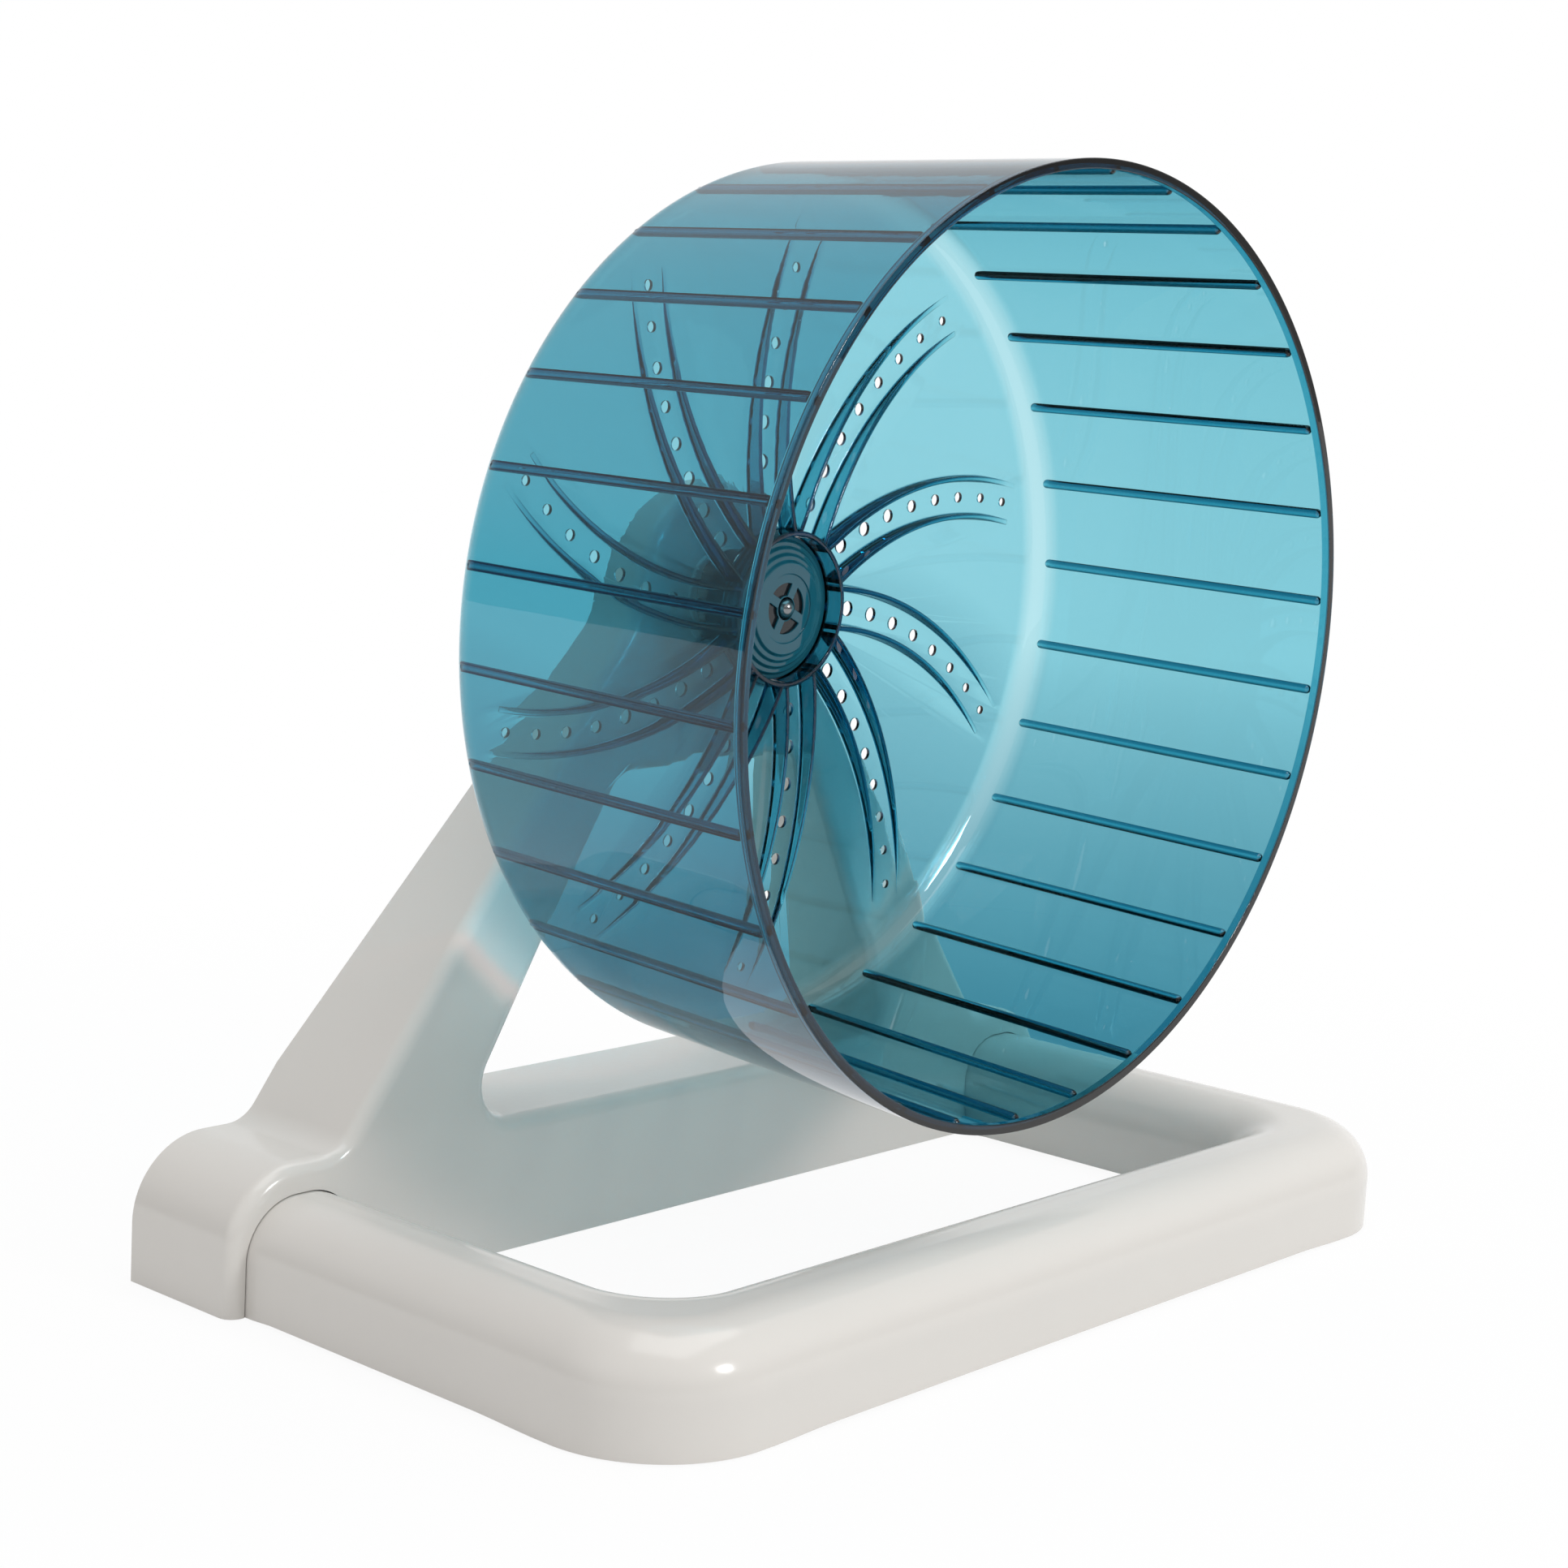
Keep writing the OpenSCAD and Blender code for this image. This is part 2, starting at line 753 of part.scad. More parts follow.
// The two ridges of every spoke, sloping from the hub ring's front down to the back wall
module drum_ridges() {
    chord = 2 * spoke_bend * sin(spoke_sweep / 2);
    hub_reach = hub_r - spoke_start;
    slope_half = ridge_gap + spoke_bend * (1 - cos(spoke_sweep / 2));
    difference() {
        at_spokes()
            intersection() {
                for (side = [-1, 1])
                    ridge(spoke_bend + side * ridge_gap / 2);
                translate([-spoke_bend, 0, 0])
                    rotate([90, 0, spoke_sweep / 2 - 90])
                        translate([0, 0, -slope_half])
                            linear_extrude(2 * slope_half)
                                polygon([
                                    [-ridge_gap, ring_w],
                                    [hub_reach, ring_w],
                                    [chord, wall_w],
                                    [chord, wall_w + cut],
                                    [-ridge_gap, wall_w + cut]
                                ]);
            }
        translate([0, 0, ring_w - cut])
            cylinder(r = (hub_r + hub_bore_r) / 2, h = hub_rise + 3 * cut);
    }
}

// A running rib, eight-sided, half sunk into the round wall
module rib() {
    rib_start = drum_wall / 3;
    rib_length = (wall_w - inner_corner - rib_start) / cos(drum_draft);
    translate([0, rib_height - rib_r - drum_inner(rib_start), rib_start])
        rotate([-drum_draft, 0, 0])
            rotate([0, 0, 22.5])
                cylinder(r = rib_r / cos(22.5), h = rib_length, $fn = 8);
}

module wheel_drum() {
    color(drum_teal)
        on_axle()
            difference() {
                union() {
                    rotate_extrude()
                        polygon(drum_profile);
                    for (i = [0:rib_count - 1])
                        rotate([0, 0, drum_turn + i * 360 / rib_count])
                            rib();
                    drum_ridges();
                }
                at_spokes()
                    for (i = [0:vent_count - 1])
                        rotate([0, 0, 180 + vent_first + i * vent_pitch / spoke_bend * 180 / PI])
                            translate([spoke_bend, 0, wall_w - cut])
                                cylinder(d = vent_d_hub + (vent_d_tip - vent_d_hub) * i / (vent_count - 1),
                                    h = back_wall + 2 * cut);
            }
}

cover_r = hub_bore_r - cover_clearance;
cover_steps = 4;
step_lip = 0.3;
ring_sink = 0.5;
dish_depth = 1.1;
dish_lip = 0.8;
arm_w = 2.2;
arm_turn = 25;
hub_web = cover_t + 0.7;
skirt = 1.6;

// Front of the hub cover, from its rim up to its flat middle, in steps
cover_front = [
    for (i = [0:cover_steps - 1])
        let (
            r0 = cover_r + (cover_face_r - cover_r) * i / cover_steps,
            r1 = cover_r + (cover_face_r - cover_r) * (i + 1) / cover_steps,
            w0 = cover_rim_w - cover_rise * i / cover_steps,
            w1 = cover_rim_w - cover_rise * (i + 1) / cover_steps
        )
        each [[r0, w0], [r1 + 0.5, w0 - step_lip], [r1, w1 + 0.1]]
];

module hub_cover() {
    nose_hole = nose_d / 2 + nose_clearance;
    color([0.36, 0.52, 0.56, 0.75])
        on_axle()
            difference() {
                rotate_extrude()
                    polygon(concat(
                        cover_front,
                        [
                            [cover_face_r - step_lip, cover_top_w],
                            [cover_ring_r, cover_top_w],
                            [cover_ring_r - 0.2, cover_top_w + ring_sink],
                            [nose_hole, cover_top_w + ring_sink],
                            [nose_hole, cover_top_w + hub_web],
                            [cover_face_r - 1, cover_top_w + hub_web],
                            [cover_r - skirt, cover_rim_w + cover_t - 0.6],
                            [cover_r - skirt, cover_rim_w + cover_t],
                            [cover_r, cover_rim_w + cover_t]
                        ]
                    ));
                difference() {
                    ring_piece(cover_dish_r, nose_hole + dish_lip,
                        cover_top_w - cut, cover_top_w + dish_depth);
                    for (a = [0, 90])
                        rotate([0, 0, a + arm_turn + drum_turn])
                            translate([-arm_w / 2, -cover_r, cover_top_w - 2 * cut])
                                cube([arm_w, 2 * cover_r, dish_depth + 3 * cut]);
                }
            }
}

// The axle: a domed nose, a step for the clip, the bearing seats, a shoulder, a flange and a threaded end
module axle() {
    nose_r = nose_d / 2;
    nose_centre = cover_top_w - nose_rise + nose_r;
    color("silver")
        on_axle() {
            translate([0, 0, nose_centre])
                sphere(nose_r);
            translate([0, 0, nose_centre])
                cylinder(r = nose_r, h = front_bearing_w - nose_centre + cut);
            translate([0, 0, clip_w - clip_step])
                cylinder(r = axle_r - press_clearance, h = clip_step);
            translate([0, 0, front_bearing_w])
                cylinder(r = axle_r - press_clearance, h = axle_end_w - front_bearing_w);
            translate([0, 0, shoulder_w])
                cylinder(r = inner_land_r, h = shoulder_l + flange_t / 2);
            translate([0, 0, flange_w])
                cylinder(r = flange_r, h = flange_t);
        }
}

module axle_clip() {
    color("dimgray")
        on_axle()
            difference() {
                ring_piece(nose_d / 2 + press_clearance + clip_width, nose_d / 2 + press_clearance,
                    clip_w + clip_play, clip_w + clip_t - clip_play);
                translate([-clip_slot / 2, 0, clip_w - cut])
                    cube([clip_slot, bearing_r, clip_t + 2 * cut]);
            }
}

module axle_washer() {
    color("silver")
        on_axle()
            ring_piece(washer_r, axle_r + press_clearance, washer_w, nut_w);
}

module axle_nut() {
    color("silver")
        on_axle()
            translate([0, 0, nut_w])
                difference() {
                    cylinder(r = nut_across / sqrt(3), h = nut_t, $fn = 6);
                    translate([0, 0, -cut])
                        cylinder(r = axle_r + press_clearance, h = nut_t + 2 * cut);
                }
}

module bearing_spacer() {
    color("silver")
        on_axle()
            ring_piece(inner_land_r, axle_r + press_clearance,
                front_bearing_w + bearing_w, rear_bearing_w);
}

// Ring of a bearing with its ball groove, starting at a distance from the rim plane
module race(r_out, r_in, w) {
    on_axle()
        difference() {
            ring_piece(r_out, r_in, w, w + bearing_w);
            translate([0, 0, w + bearing_w / 2])
                rotate_extrude()
                    translate([pitch_r, 0])
                        circle(groove_r);
        }
}

module inner_ring(w) {
    color("silver")
        race(inner_land_r, axle_r, w);
}

module outer_ring(w) {
    seat_t = shield_t + 2 * press_clearance;
    color("silver")
        difference() {
            race(bearing_r, outer_land_r, w);
            on_axle()
                for (v = [w + shield_inset, w + bearing_w - shield_inset - seat_t])
                    translate([0, 0, v])
                        cylinder(r = shield_r + press_clearance, h = seat_t);
        }
}

module bearing_shields(w) {
    color("gainsboro")
        on_axle()
            for (v = [w + shield_inset + press_clearance,
                    w + bearing_w - shield_inset - shield_t - press_clearance])
                ring_piece(shield_r, inner_land_r + 0.3, v, v + shield_t);
}

module balls(w) {
    color("gainsboro")
        on_axle()
            for (i = [0:ball_count - 1])
                rotate([0, 0, i * 360 / ball_count])
                    translate([0, -pitch_r, w + bearing_w / 2])
                        sphere(ball_r);
}

module ball_cage(w) {
    middle = w + bearing_w / 2;
    color("tan")
        on_axle()
            difference() {
                ring_piece(pitch_r + cage_t / 2, pitch_r - cage_t / 2,
                    middle - ball_r - cage_back, middle + cage_front);
                for (i = [0:ball_count - 1])
                    rotate([0, 0, i * 360 / ball_count])
                        translate([0, -pitch_r, middle])
                            sphere(groove_r);
            }
}

module bearing_clip() {
    color("dimgray")
        on_axle()
            difference() {
                ring_piece(bearing_r + clip_bite, bearing_r + clip_bite - clip_width,
                    clip_w, clip_w + clip_t - 2 * clip_play);
                translate([-clip_slot / 2, 0, clip_w - cut])
                    cube([clip_slot, bearing_d, clip_t + 2 * cut]);
            }
}

module front_inner_ring() inner_ring(front_bearing_w);
module rear_inner_ring() inner_ring(rear_bearing_w);
module front_outer_ring() outer_ring(front_bearing_w);
module rear_outer_ring() outer_ring(rear_bearing_w);
module front_bearing_shields() bearing_shields(front_bearing_w);
module rear_bearing_shields() bearing_shields(rear_bearing_w);
module front_ball_cage() ball_cage(front_bearing_w);
module rear_ball_cage() ball_cage(rear_bearing_w);
module front_balls() balls(front_bearing_w);
module rear_balls() balls(rear_bearing_w);

rear_frame();
frame_back_cover();
cover_screws();
front_base();
base_screws();
rubber_feet();
axle();
axle_washer();
axle_nut();
axle_clip();
bearing_spacer();
front_inner_ring();
rear_inner_ring();
wheel_drum();
hub_cover();
bearing_clip();
front_outer_ring();
rear_outer_ring();
front_bearing_shields();
rear_bearing_shields();
front_ball_cage();
front_balls();
rear_ball_cage();
rear_balls();
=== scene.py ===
# %% [markdown]
# # A rodent exercise wheel
#
# The real object is a clear blue-green drum that spins on two ball bearings in the head of an off-white
# A-frame stand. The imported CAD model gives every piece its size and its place. This lesson gives the
# pieces that show their moulded shapes and their finishes.
#
# Every length below is in millimetres, and `MM` turns it into Blender's metres when a mesh is made.

# %% Load the frame
import json
import math
import bpy
import bmesh
import numpy as np
from mathutils import Matrix, Vector
from mathutils.geometry import tessellate_polygon


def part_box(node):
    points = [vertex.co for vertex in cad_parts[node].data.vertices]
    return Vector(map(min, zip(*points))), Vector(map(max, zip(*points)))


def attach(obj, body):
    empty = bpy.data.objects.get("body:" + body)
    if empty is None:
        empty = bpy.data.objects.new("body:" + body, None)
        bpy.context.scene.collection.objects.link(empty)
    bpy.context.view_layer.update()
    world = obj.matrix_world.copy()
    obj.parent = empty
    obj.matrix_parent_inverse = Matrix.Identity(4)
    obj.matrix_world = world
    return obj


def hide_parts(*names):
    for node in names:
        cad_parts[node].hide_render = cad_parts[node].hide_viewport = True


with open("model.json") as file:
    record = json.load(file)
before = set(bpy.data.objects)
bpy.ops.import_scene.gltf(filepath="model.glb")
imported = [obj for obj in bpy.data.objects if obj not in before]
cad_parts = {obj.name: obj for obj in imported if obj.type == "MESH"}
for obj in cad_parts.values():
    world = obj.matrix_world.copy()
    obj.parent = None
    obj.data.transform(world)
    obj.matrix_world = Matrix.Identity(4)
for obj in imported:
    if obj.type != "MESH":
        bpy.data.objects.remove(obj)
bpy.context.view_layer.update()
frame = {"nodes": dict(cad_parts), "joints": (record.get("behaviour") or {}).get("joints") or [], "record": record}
scene = bpy.context.scene
MM = 0.001

# %% [markdown]
# ## Sizes that the pieces share
#
# The outer sizes come from the CAD nodes' own boxes, so a changed model moves the pieces along. The
# walls, radii and clearances inside those boxes are repeated here by name.
#
# Round pieces are measured from the axle, which droops a little at the front: by a radius, and by `w`, the
# distance behind the plane of the drum's rim. That plane lies `rim_reach` in front of the frame's face.

# %% Sizes from the frame
frame_low, frame_high = (np.array(c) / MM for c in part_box("rear_frame"))
base_low, base_high = (np.array(c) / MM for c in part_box("front_base"))
joint = frame["joints"][0]
axle_place = np.array(joint["pos_m"]) / MM
axle_line = np.array(joint["axis"]) / np.linalg.norm(joint["axis"])

face_y = axle_place[1]
axle_height = axle_place[2]
frame_half = frame_high[0]
back_y = frame_high[1]
ground_gap = frame_low[2]
print("frame face at y", round(face_y, 2), "axle at z", round(axle_height, 2))
print("half width", round(frame_half, 2), "ground gap", round(ground_gap, 2))

# %% Sizes of the drum, in millimetres
drum_r, drum_depth = 140.0, 116.1
drum_wall, back_wall = 1.4, 1.1
drum_slope = math.tan(math.radians(1.7))
drum_corner, inner_corner = 10.5, 8.1
drum_turn = 0.5
rim_reach = 138.0
wall_w = drum_depth - back_wall
inner_wall_r = drum_r - wall_w * drum_slope - drum_wall
print("drum", 2 * drum_r, "across,", drum_depth, "deep, back wall at w", wall_w)

# %% Sizes of the hub, in millimetres
hub_r, hub_bore_r, hub_rise = 24.6, 22.9, 6.8
ring_w = wall_w - hub_rise
cover_depth, cover_rise, cover_t, cover_gap = 6.4, 4.1, 1.6, 0.3
shallow_depth, dish_r = 0.5, 8.1
cover_rim_w = ring_w + cover_depth
cover_top_w = cover_rim_w - cover_rise
print("hub ring", 2 * hub_r, "across, front at w", round(ring_w, 2))
print("hub cover's rim at w", round(cover_rim_w, 2), "and its middle at w", round(cover_top_w, 2))

# %% [markdown]
# ## Small tools for surfaces
#
# A piece is built from grids of points: each grid is a shape worked out as a function of two parameters,
# and neighbouring points join into quads. `Skin` collects grids and flat faces, welds their shared edges,
# turns every face outwards and makes one mesh. That keeps a closed solid closed, which matters for clear
# plastic: light bends at both sides of its wall.

# %% Grids and arcs
def quads(rows, cols, wrap_rows, wrap_cols):
    """Corner numbers of the quads on a grid of rows x cols points, numbered row after row."""
    r = np.arange(rows if wrap_rows else rows - 1)[:, None]
    c = np.arange(cols if wrap_cols else cols - 1)[None, :]
    r1, c1 = (r + 1) % rows, (c + 1) % cols
    corners = np.broadcast_arrays(r * cols + c, r * cols + c1, r1 * cols + c1, r1 * cols + c)
    return np.stack([k.ravel() for k in corners], 1)


def arc(centre, radius, start, end, steps):
    """Points of an arc: centre + radius * (cos a, sin a), with a running from start to end in degrees."""
    a = np.radians(np.linspace(start, end, steps + 1))
    return np.array(centre) + radius * np.stack([np.cos(a), np.sin(a)], 1)


def supported(path, reach=0.3, shortest=1.5):
    """A closed path with a point added a little way in from both ends of each straight stretch longer than
    the shortest, which keeps the shading flat there."""
    out = []
    for a, b in zip(path, np.roll(path, -1, 0)):
        out.append(a)
        length = np.linalg.norm(b - a)
        if length > shortest:
            step = (b - a) * reach / length
            out += [a + step, b - step]
    return np.array(out)


# %% Skins
weld_m, sliver_m = 2e-6, 1e-7


def smoothed(mesh, sharp=32):
    """Smooth shading that breaks at edges sharper than an angle in degrees."""
    mesh.shade_smooth()
    mesh.set_sharp_from_angle(angle=math.radians(sharp))
    return mesh


class Skin:
    """Points and faces of one piece, collected surface by surface."""

    def __init__(self):
        self.points, self.faces, self.count = [], [], 0

    def add(self, points, faces):
        """Points, and faces that number them from 0."""
        self.points.append(points)
        self.faces += [[int(k) + self.count for k in face] for face in faces]
        self.count += len(points)

    def grid(self, points, wrap_rows=False, wrap_cols=False):
        """A surface from points of shape (rows, columns, 3), closed along either direction if asked."""
        rows, cols = points.shape[:2]
        self.add(points.reshape(-1, 3), quads(rows, cols, wrap_rows, wrap_cols).tolist())

    def face(self, loop):
        """One flat face round a loop of points."""
        self.add(loop, [range(len(loop))])

    def sheet(self, *loops):
        """A flat face with holes: the first loop is its edge, the others are its holes."""
        triangles = tessellate_polygon([[Vector(p) for p in loop] for loop in loops])
        self.add(np.concatenate(loops), triangles)

    def mesh(self, name):
        """One mesh in metres, welded, facing outwards and smooth except at its sharp edges."""
        mesh = bpy.data.meshes.new(name)
        mesh.from_pydata((np.concatenate(self.points) * MM).tolist(), [], self.faces)
        shape = bmesh.new()
        shape.from_mesh(mesh)
        bmesh.ops.remove_doubles(shape, verts=shape.verts, dist=weld_m)
        bmesh.ops.dissolve_degenerate(shape, edges=shape.edges, dist=sliver_m)
        bmesh.ops.recalc_face_normals(shape, faces=shape.faces)
        shape.to_mesh(mesh)
        shape.free()
        return smoothed(mesh)


# %% Turned shapes
def spun(profile, steps, place):
    """A profile of (radius, w) turned about its axis: x = r sin t, y = -r cos t and w, which a function puts
    in place."""
    t = np.linspace(0, 2 * np.pi, steps, endpoint=False)[:, None]
    r, w = profile[None, :, 0], profile[None, :, 1]
    return place(r * np.sin(t), -r * np.cos(t), w + 0 * t)


def on_axle(x, y, w):
    """From axle measures to the frame: the rim's centre + x across - y up + w back along the axle."""
    rim_centre = axle_place - rim_reach * axle_line
    across, up = np.array([1.0, 0, 0]), np.array([0, -axle_line[2], axle_line[1]])
    x, y, w = (np.asarray(k)[..., None] for k in np.broadcast_arrays(x, y, w))
    return rim_centre + x * across - y * up + w * axle_line


# %% Pieces and what they ride on
def piece(name, mesh, body, material, stands_for):
    """A finished piece: its mesh with a material, riding on a body, in the place of CAD nodes."""
    obj = bpy.data.objects.new(name, mesh)
    scene.collection.objects.link(obj)
    mesh.materials.clear()
    mesh.materials.append(material)
    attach(obj, body)
    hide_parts(*stands_for)
    print(name, "has", len(mesh.polygons), "faces")


# %% [markdown]
# ## Camera
#
# The camera stands where the photograph was taken from, low and to the left of the open side. Its lens,
# turn and small roll come from a fit of the drum's rim and the stand's straight edges.

# %% Camera at the photograph's angle
camera_place = Vector((-0.6551, -0.5502, 0.2671))
azimuth, elevation, roll = (math.radians(a) for a in (-48.63, 7.99, 3.165))
focal_px, image_px, sensor = 3462.0, 1932.0, 36.0
shift_px, nearest = (-2.2, -4.8), 0.02

camera = bpy.data.objects.new("camera", bpy.data.cameras.new("camera"))
scene.collection.objects.link(camera)
back = Vector((math.sin(azimuth) * math.cos(elevation), -math.cos(azimuth) * math.cos(elevation),
               math.sin(elevation)))
right = (-back).cross(Vector((0, 0, 1))).normalized()
upright = right.cross(-back)
across = right * math.cos(roll) + upright * math.sin(roll)
above = upright * math.cos(roll) - right * math.sin(roll)
turn = Matrix((across, above, back)).transposed().to_4x4()
camera.matrix_world = Matrix.Translation(camera_place) @ turn
camera.data.sensor_width = sensor
camera.data.lens = focal_px / image_px * sensor
camera.data.shift_x, camera.data.shift_y = (s / image_px for s in shift_px)
camera.data.clip_start = nearest
scene.camera = camera
print("lens", round(camera.data.lens, 2), "mm")

# %% [markdown]
# ## A shared effect: the skin of moulded plastic and metal
#
# No real surface has one roughness. A moulded part has a faint orange peel, a slow drift in gloss and a
# little haze from handling. One node group makes those as plain values from Object coordinates, and each
# material places it with its own scale and strength.

# %% Node group for the surface skin
def new_nodes(tree, *kinds):
    """New shader nodes of these kinds in a node tree, in the same order."""
    return [tree.nodes.new("ShaderNode" + kind) for kind in kinds]


def socket(group, name, kind, way, value=None):
    """A named socket on a node group, for a value that comes in or goes out, with its first value."""
    made_socket = group.interface.new_socket(name=name, in_out=way, socket_type=kind)
    if value is not None:
        made_socket.default_value = value


def skin_group():
    """With n a slow noise about 0, it puts out colour * (1 + shade drift * n), roughness + roughness drift
    * n, and a fine noise as the height of the peel."""
    group = bpy.data.node_groups.new("surface_skin", "ShaderNodeTree")
    socket(group, "Peel scale", "NodeSocketFloat", "INPUT", 300.0)
    socket(group, "Drift scale", "NodeSocketFloat", "INPUT", 12.0)
    socket(group, "Roughness", "NodeSocketFloat", "INPUT", 0.15)
    socket(group, "Roughness drift", "NodeSocketFloat", "INPUT", 0.05)
    socket(group, "Colour", "NodeSocketColor", "INPUT", (0.8, 0.8, 0.8, 1))
    socket(group, "Shade drift", "NodeSocketFloat", "INPUT", 0.03)
    socket(group, "Colour", "NodeSocketColor", "OUTPUT")
    socket(group, "Roughness", "NodeSocketFloat", "OUTPUT")
    socket(group, "Height", "NodeSocketFloat", "OUTPUT")
    nodes, links = group.nodes, group.links
    inside, outside = nodes.new("NodeGroupInput"), nodes.new("NodeGroupOutput")
    place = nodes.new("ShaderNodeTexCoord")
    peel, drift = nodes.new("ShaderNodeTexNoise"), nodes.new("ShaderNodeTexNoise")
    drift.inputs["Detail"].default_value = 4.0
    for noise, scale in ((peel, "Peel scale"), (drift, "Drift scale")):
        links.new(place.outputs["Object"], noise.inputs["Vector"])
        links.new(inside.outputs[scale], noise.inputs["Scale"])
    centred = nodes.new("ShaderNodeMath")
    centred.operation = "SUBTRACT"
    centred.inputs[1].default_value = 0.5
    links.new(drift.outputs["Fac"], centred.inputs[0])
    rough = nodes.new("ShaderNodeMath")
    rough.operation = "MULTIPLY_ADD"
    links.new(centred.outputs[0], rough.inputs[0])
    links.new(inside.outputs["Roughness drift"], rough.inputs[1])
    links.new(inside.outputs["Roughness"], rough.inputs[2])
    shade = nodes.new("ShaderNodeMath")
    shade.operation = "MULTIPLY_ADD"
    shade.inputs[2].default_value = 1.0
    links.new(centred.outputs[0], shade.inputs[0])
    links.new(inside.outputs["Shade drift"], shade.inputs[1])
    tint = nodes.new("ShaderNodeVectorMath")
    tint.operation = "SCALE"
    links.new(inside.outputs["Colour"], tint.inputs[0])
    links.new(shade.outputs[0], tint.inputs["Scale"])
    links.new(tint.outputs[0], outside.inputs["Colour"])
    links.new(rough.outputs[0], outside.inputs["Roughness"])
    links.new(peel.outputs["Fac"], outside.inputs["Height"])
    return group


surface_skin = skin_group()
print("group made:", surface_skin.name)


# %% [markdown]
# ## Materials
#
# The stand is glossy off-white plastic, and the steel, nylon and rubber are opaque too. They share one
# function: the Principled shader sits in the material itself and takes its colour, roughness and bump
# from the shared group.

# %% Opaque finishes
def finish(name, colour, roughness, rough_drift=0.05, shade_drift=0.03, peel=(400.0, 0.00002), **values):
    """A material: the skin group feeds a Principled shader whose plain values are given by name. The peel is
    its noise's scale and its bump's distance in metres."""
    material = bpy.data.materials.new(name)
    material.use_nodes = True
    nodes, links = material.node_tree.nodes, material.node_tree.links
    shader = nodes["Principled BSDF"]
    skin = nodes.new("ShaderNodeGroup")
    skin.node_tree = surface_skin
    skin.inputs["Peel scale"].default_value = peel[0]
    skin.inputs["Roughness"].default_value = roughness
    skin.inputs["Roughness drift"].default_value = rough_drift
    skin.inputs["Colour"].default_value = (*colour, 1)
    skin.inputs["Shade drift"].default_value = shade_drift
    bump = nodes.new("ShaderNodeBump")
    bump.inputs["Distance"].default_value = peel[1]
    links.new(skin.outputs["Height"], bump.inputs["Height"])
    links.new(skin.outputs["Colour"], shader.inputs["Base Color"])
    links.new(skin.outputs["Roughness"], shader.inputs["Roughness"])
    links.new(bump.outputs["Normal"], shader.inputs["Normal"])
    for key, value in values.items():
        shader.inputs[key.replace("_", " ")].default_value = value
    return material


stand_plastic = finish("stand_plastic", (0.690, 0.662, 0.625), 0.17, 0.04, IOR=1.50)
bright_steel = finish("bright_steel", (0.24, 0.25, 0.26), 0.18, peel=(900.0, 0.000004), Metallic=1.0)
zinc_steel = finish("zinc_steel", (0.50, 0.51, 0.53), 0.32, 0.12, peel=(900.0, 0.00001), Metallic=1.0)
spring_steel = finish("spring_steel", (0.06, 0.06, 0.065), 0.38, 0.1, Metallic=1.0)
cage_nylon = finish("cage_nylon", (0.55, 0.44, 0.27), 0.45, 0.1, Subsurface_Weight=0.1)
pad_rubber = finish("pad_rubber", (0.10, 0.105, 0.11), 0.62, 0.1, 0.1, (900.0, 0.00008))
opaque = (stand_plastic, bright_steel, zinc_steel, spring_steel, cage_nylon, pad_rubber)
print("opaque materials:", [m.name for m in opaque])


# %% [markdown]
# ## Clear plastic
#
# The drum is tinted through its whole thickness, so a thin wall looks pale and its edges and ribs look
# dark. A colour on the surface alone would make them all alike. So most of the tint is absorption inside
# the wall, which grows with the way the light travels, and each surface adds only a faint grey blue. The
# backdrop is a little past white for a ray that comes through the drum, which makes up for that grey:
# one wall keeps its colour, while two walls, or a wall before the stand, get darker.
#
# A shadow ray takes a plain tinted way through, so that the drum throws a coloured shadow and not a black
# one. Its red is above 1, because the wall absorbs red as well: that gives part of it back, and the stand
# behind the drum stays nearly neutral.

# %% Clear finishes
def clear(name, tint, shadow_tint, inner_tint, density, clearness=1.0, roughness=0.01):
    """A clear material: a refracting Principled for what is seen, a tinted Transparent for shadow rays, and
    absorption inside, which leaves exp(-density * (1 - inner tint) * way) of each colour."""
    material = finish(name, tint, roughness, 0.01, 0.02, (70.0, 0.00002), IOR=1.49,
                      Transmission_Weight=clearness)
    nodes, links = material.node_tree.nodes, material.node_tree.links
    shader, output = nodes["Principled BSDF"], nodes["Material Output"]
    path, through, choose = new_nodes(material.node_tree, "LightPath", "BsdfTransparent", "MixShader")
    through.inputs["Color"].default_value = (*shadow_tint, 1)
    links.new(path.outputs["Is Shadow Ray"], choose.inputs["Fac"])
    links.new(shader.outputs[0], choose.inputs[1])
    links.new(through.outputs[0], choose.inputs[2])
    links.new(choose.outputs[0], output.inputs["Surface"])
    inside = nodes.new("ShaderNodeVolumeAbsorption")
    inside.inputs["Color"].default_value = (*inner_tint, 1)
    inside.inputs["Density"].default_value = density
    links.new(inside.outputs[0], output.inputs["Volume"])
    return material


drum_plastic = clear("drum_plastic", (0.78, 0.86, 0.87), (1.72, 0.98, 0.88), (0.06, 0.665, 0.765), 950.0)
# The hub cover's dark, mostly opaque tint is partly its own colour and partly painted shade of the shaded bearings
# and frame head behind it.
hub_plastic = clear("hub_plastic", (0.012, 0.13, 0.185), (0.80, 0.88, 0.90), (0.05, 0.55, 0.65), 300.0, 0.3)
print("clear materials:", drum_plastic.name, hub_plastic.name)
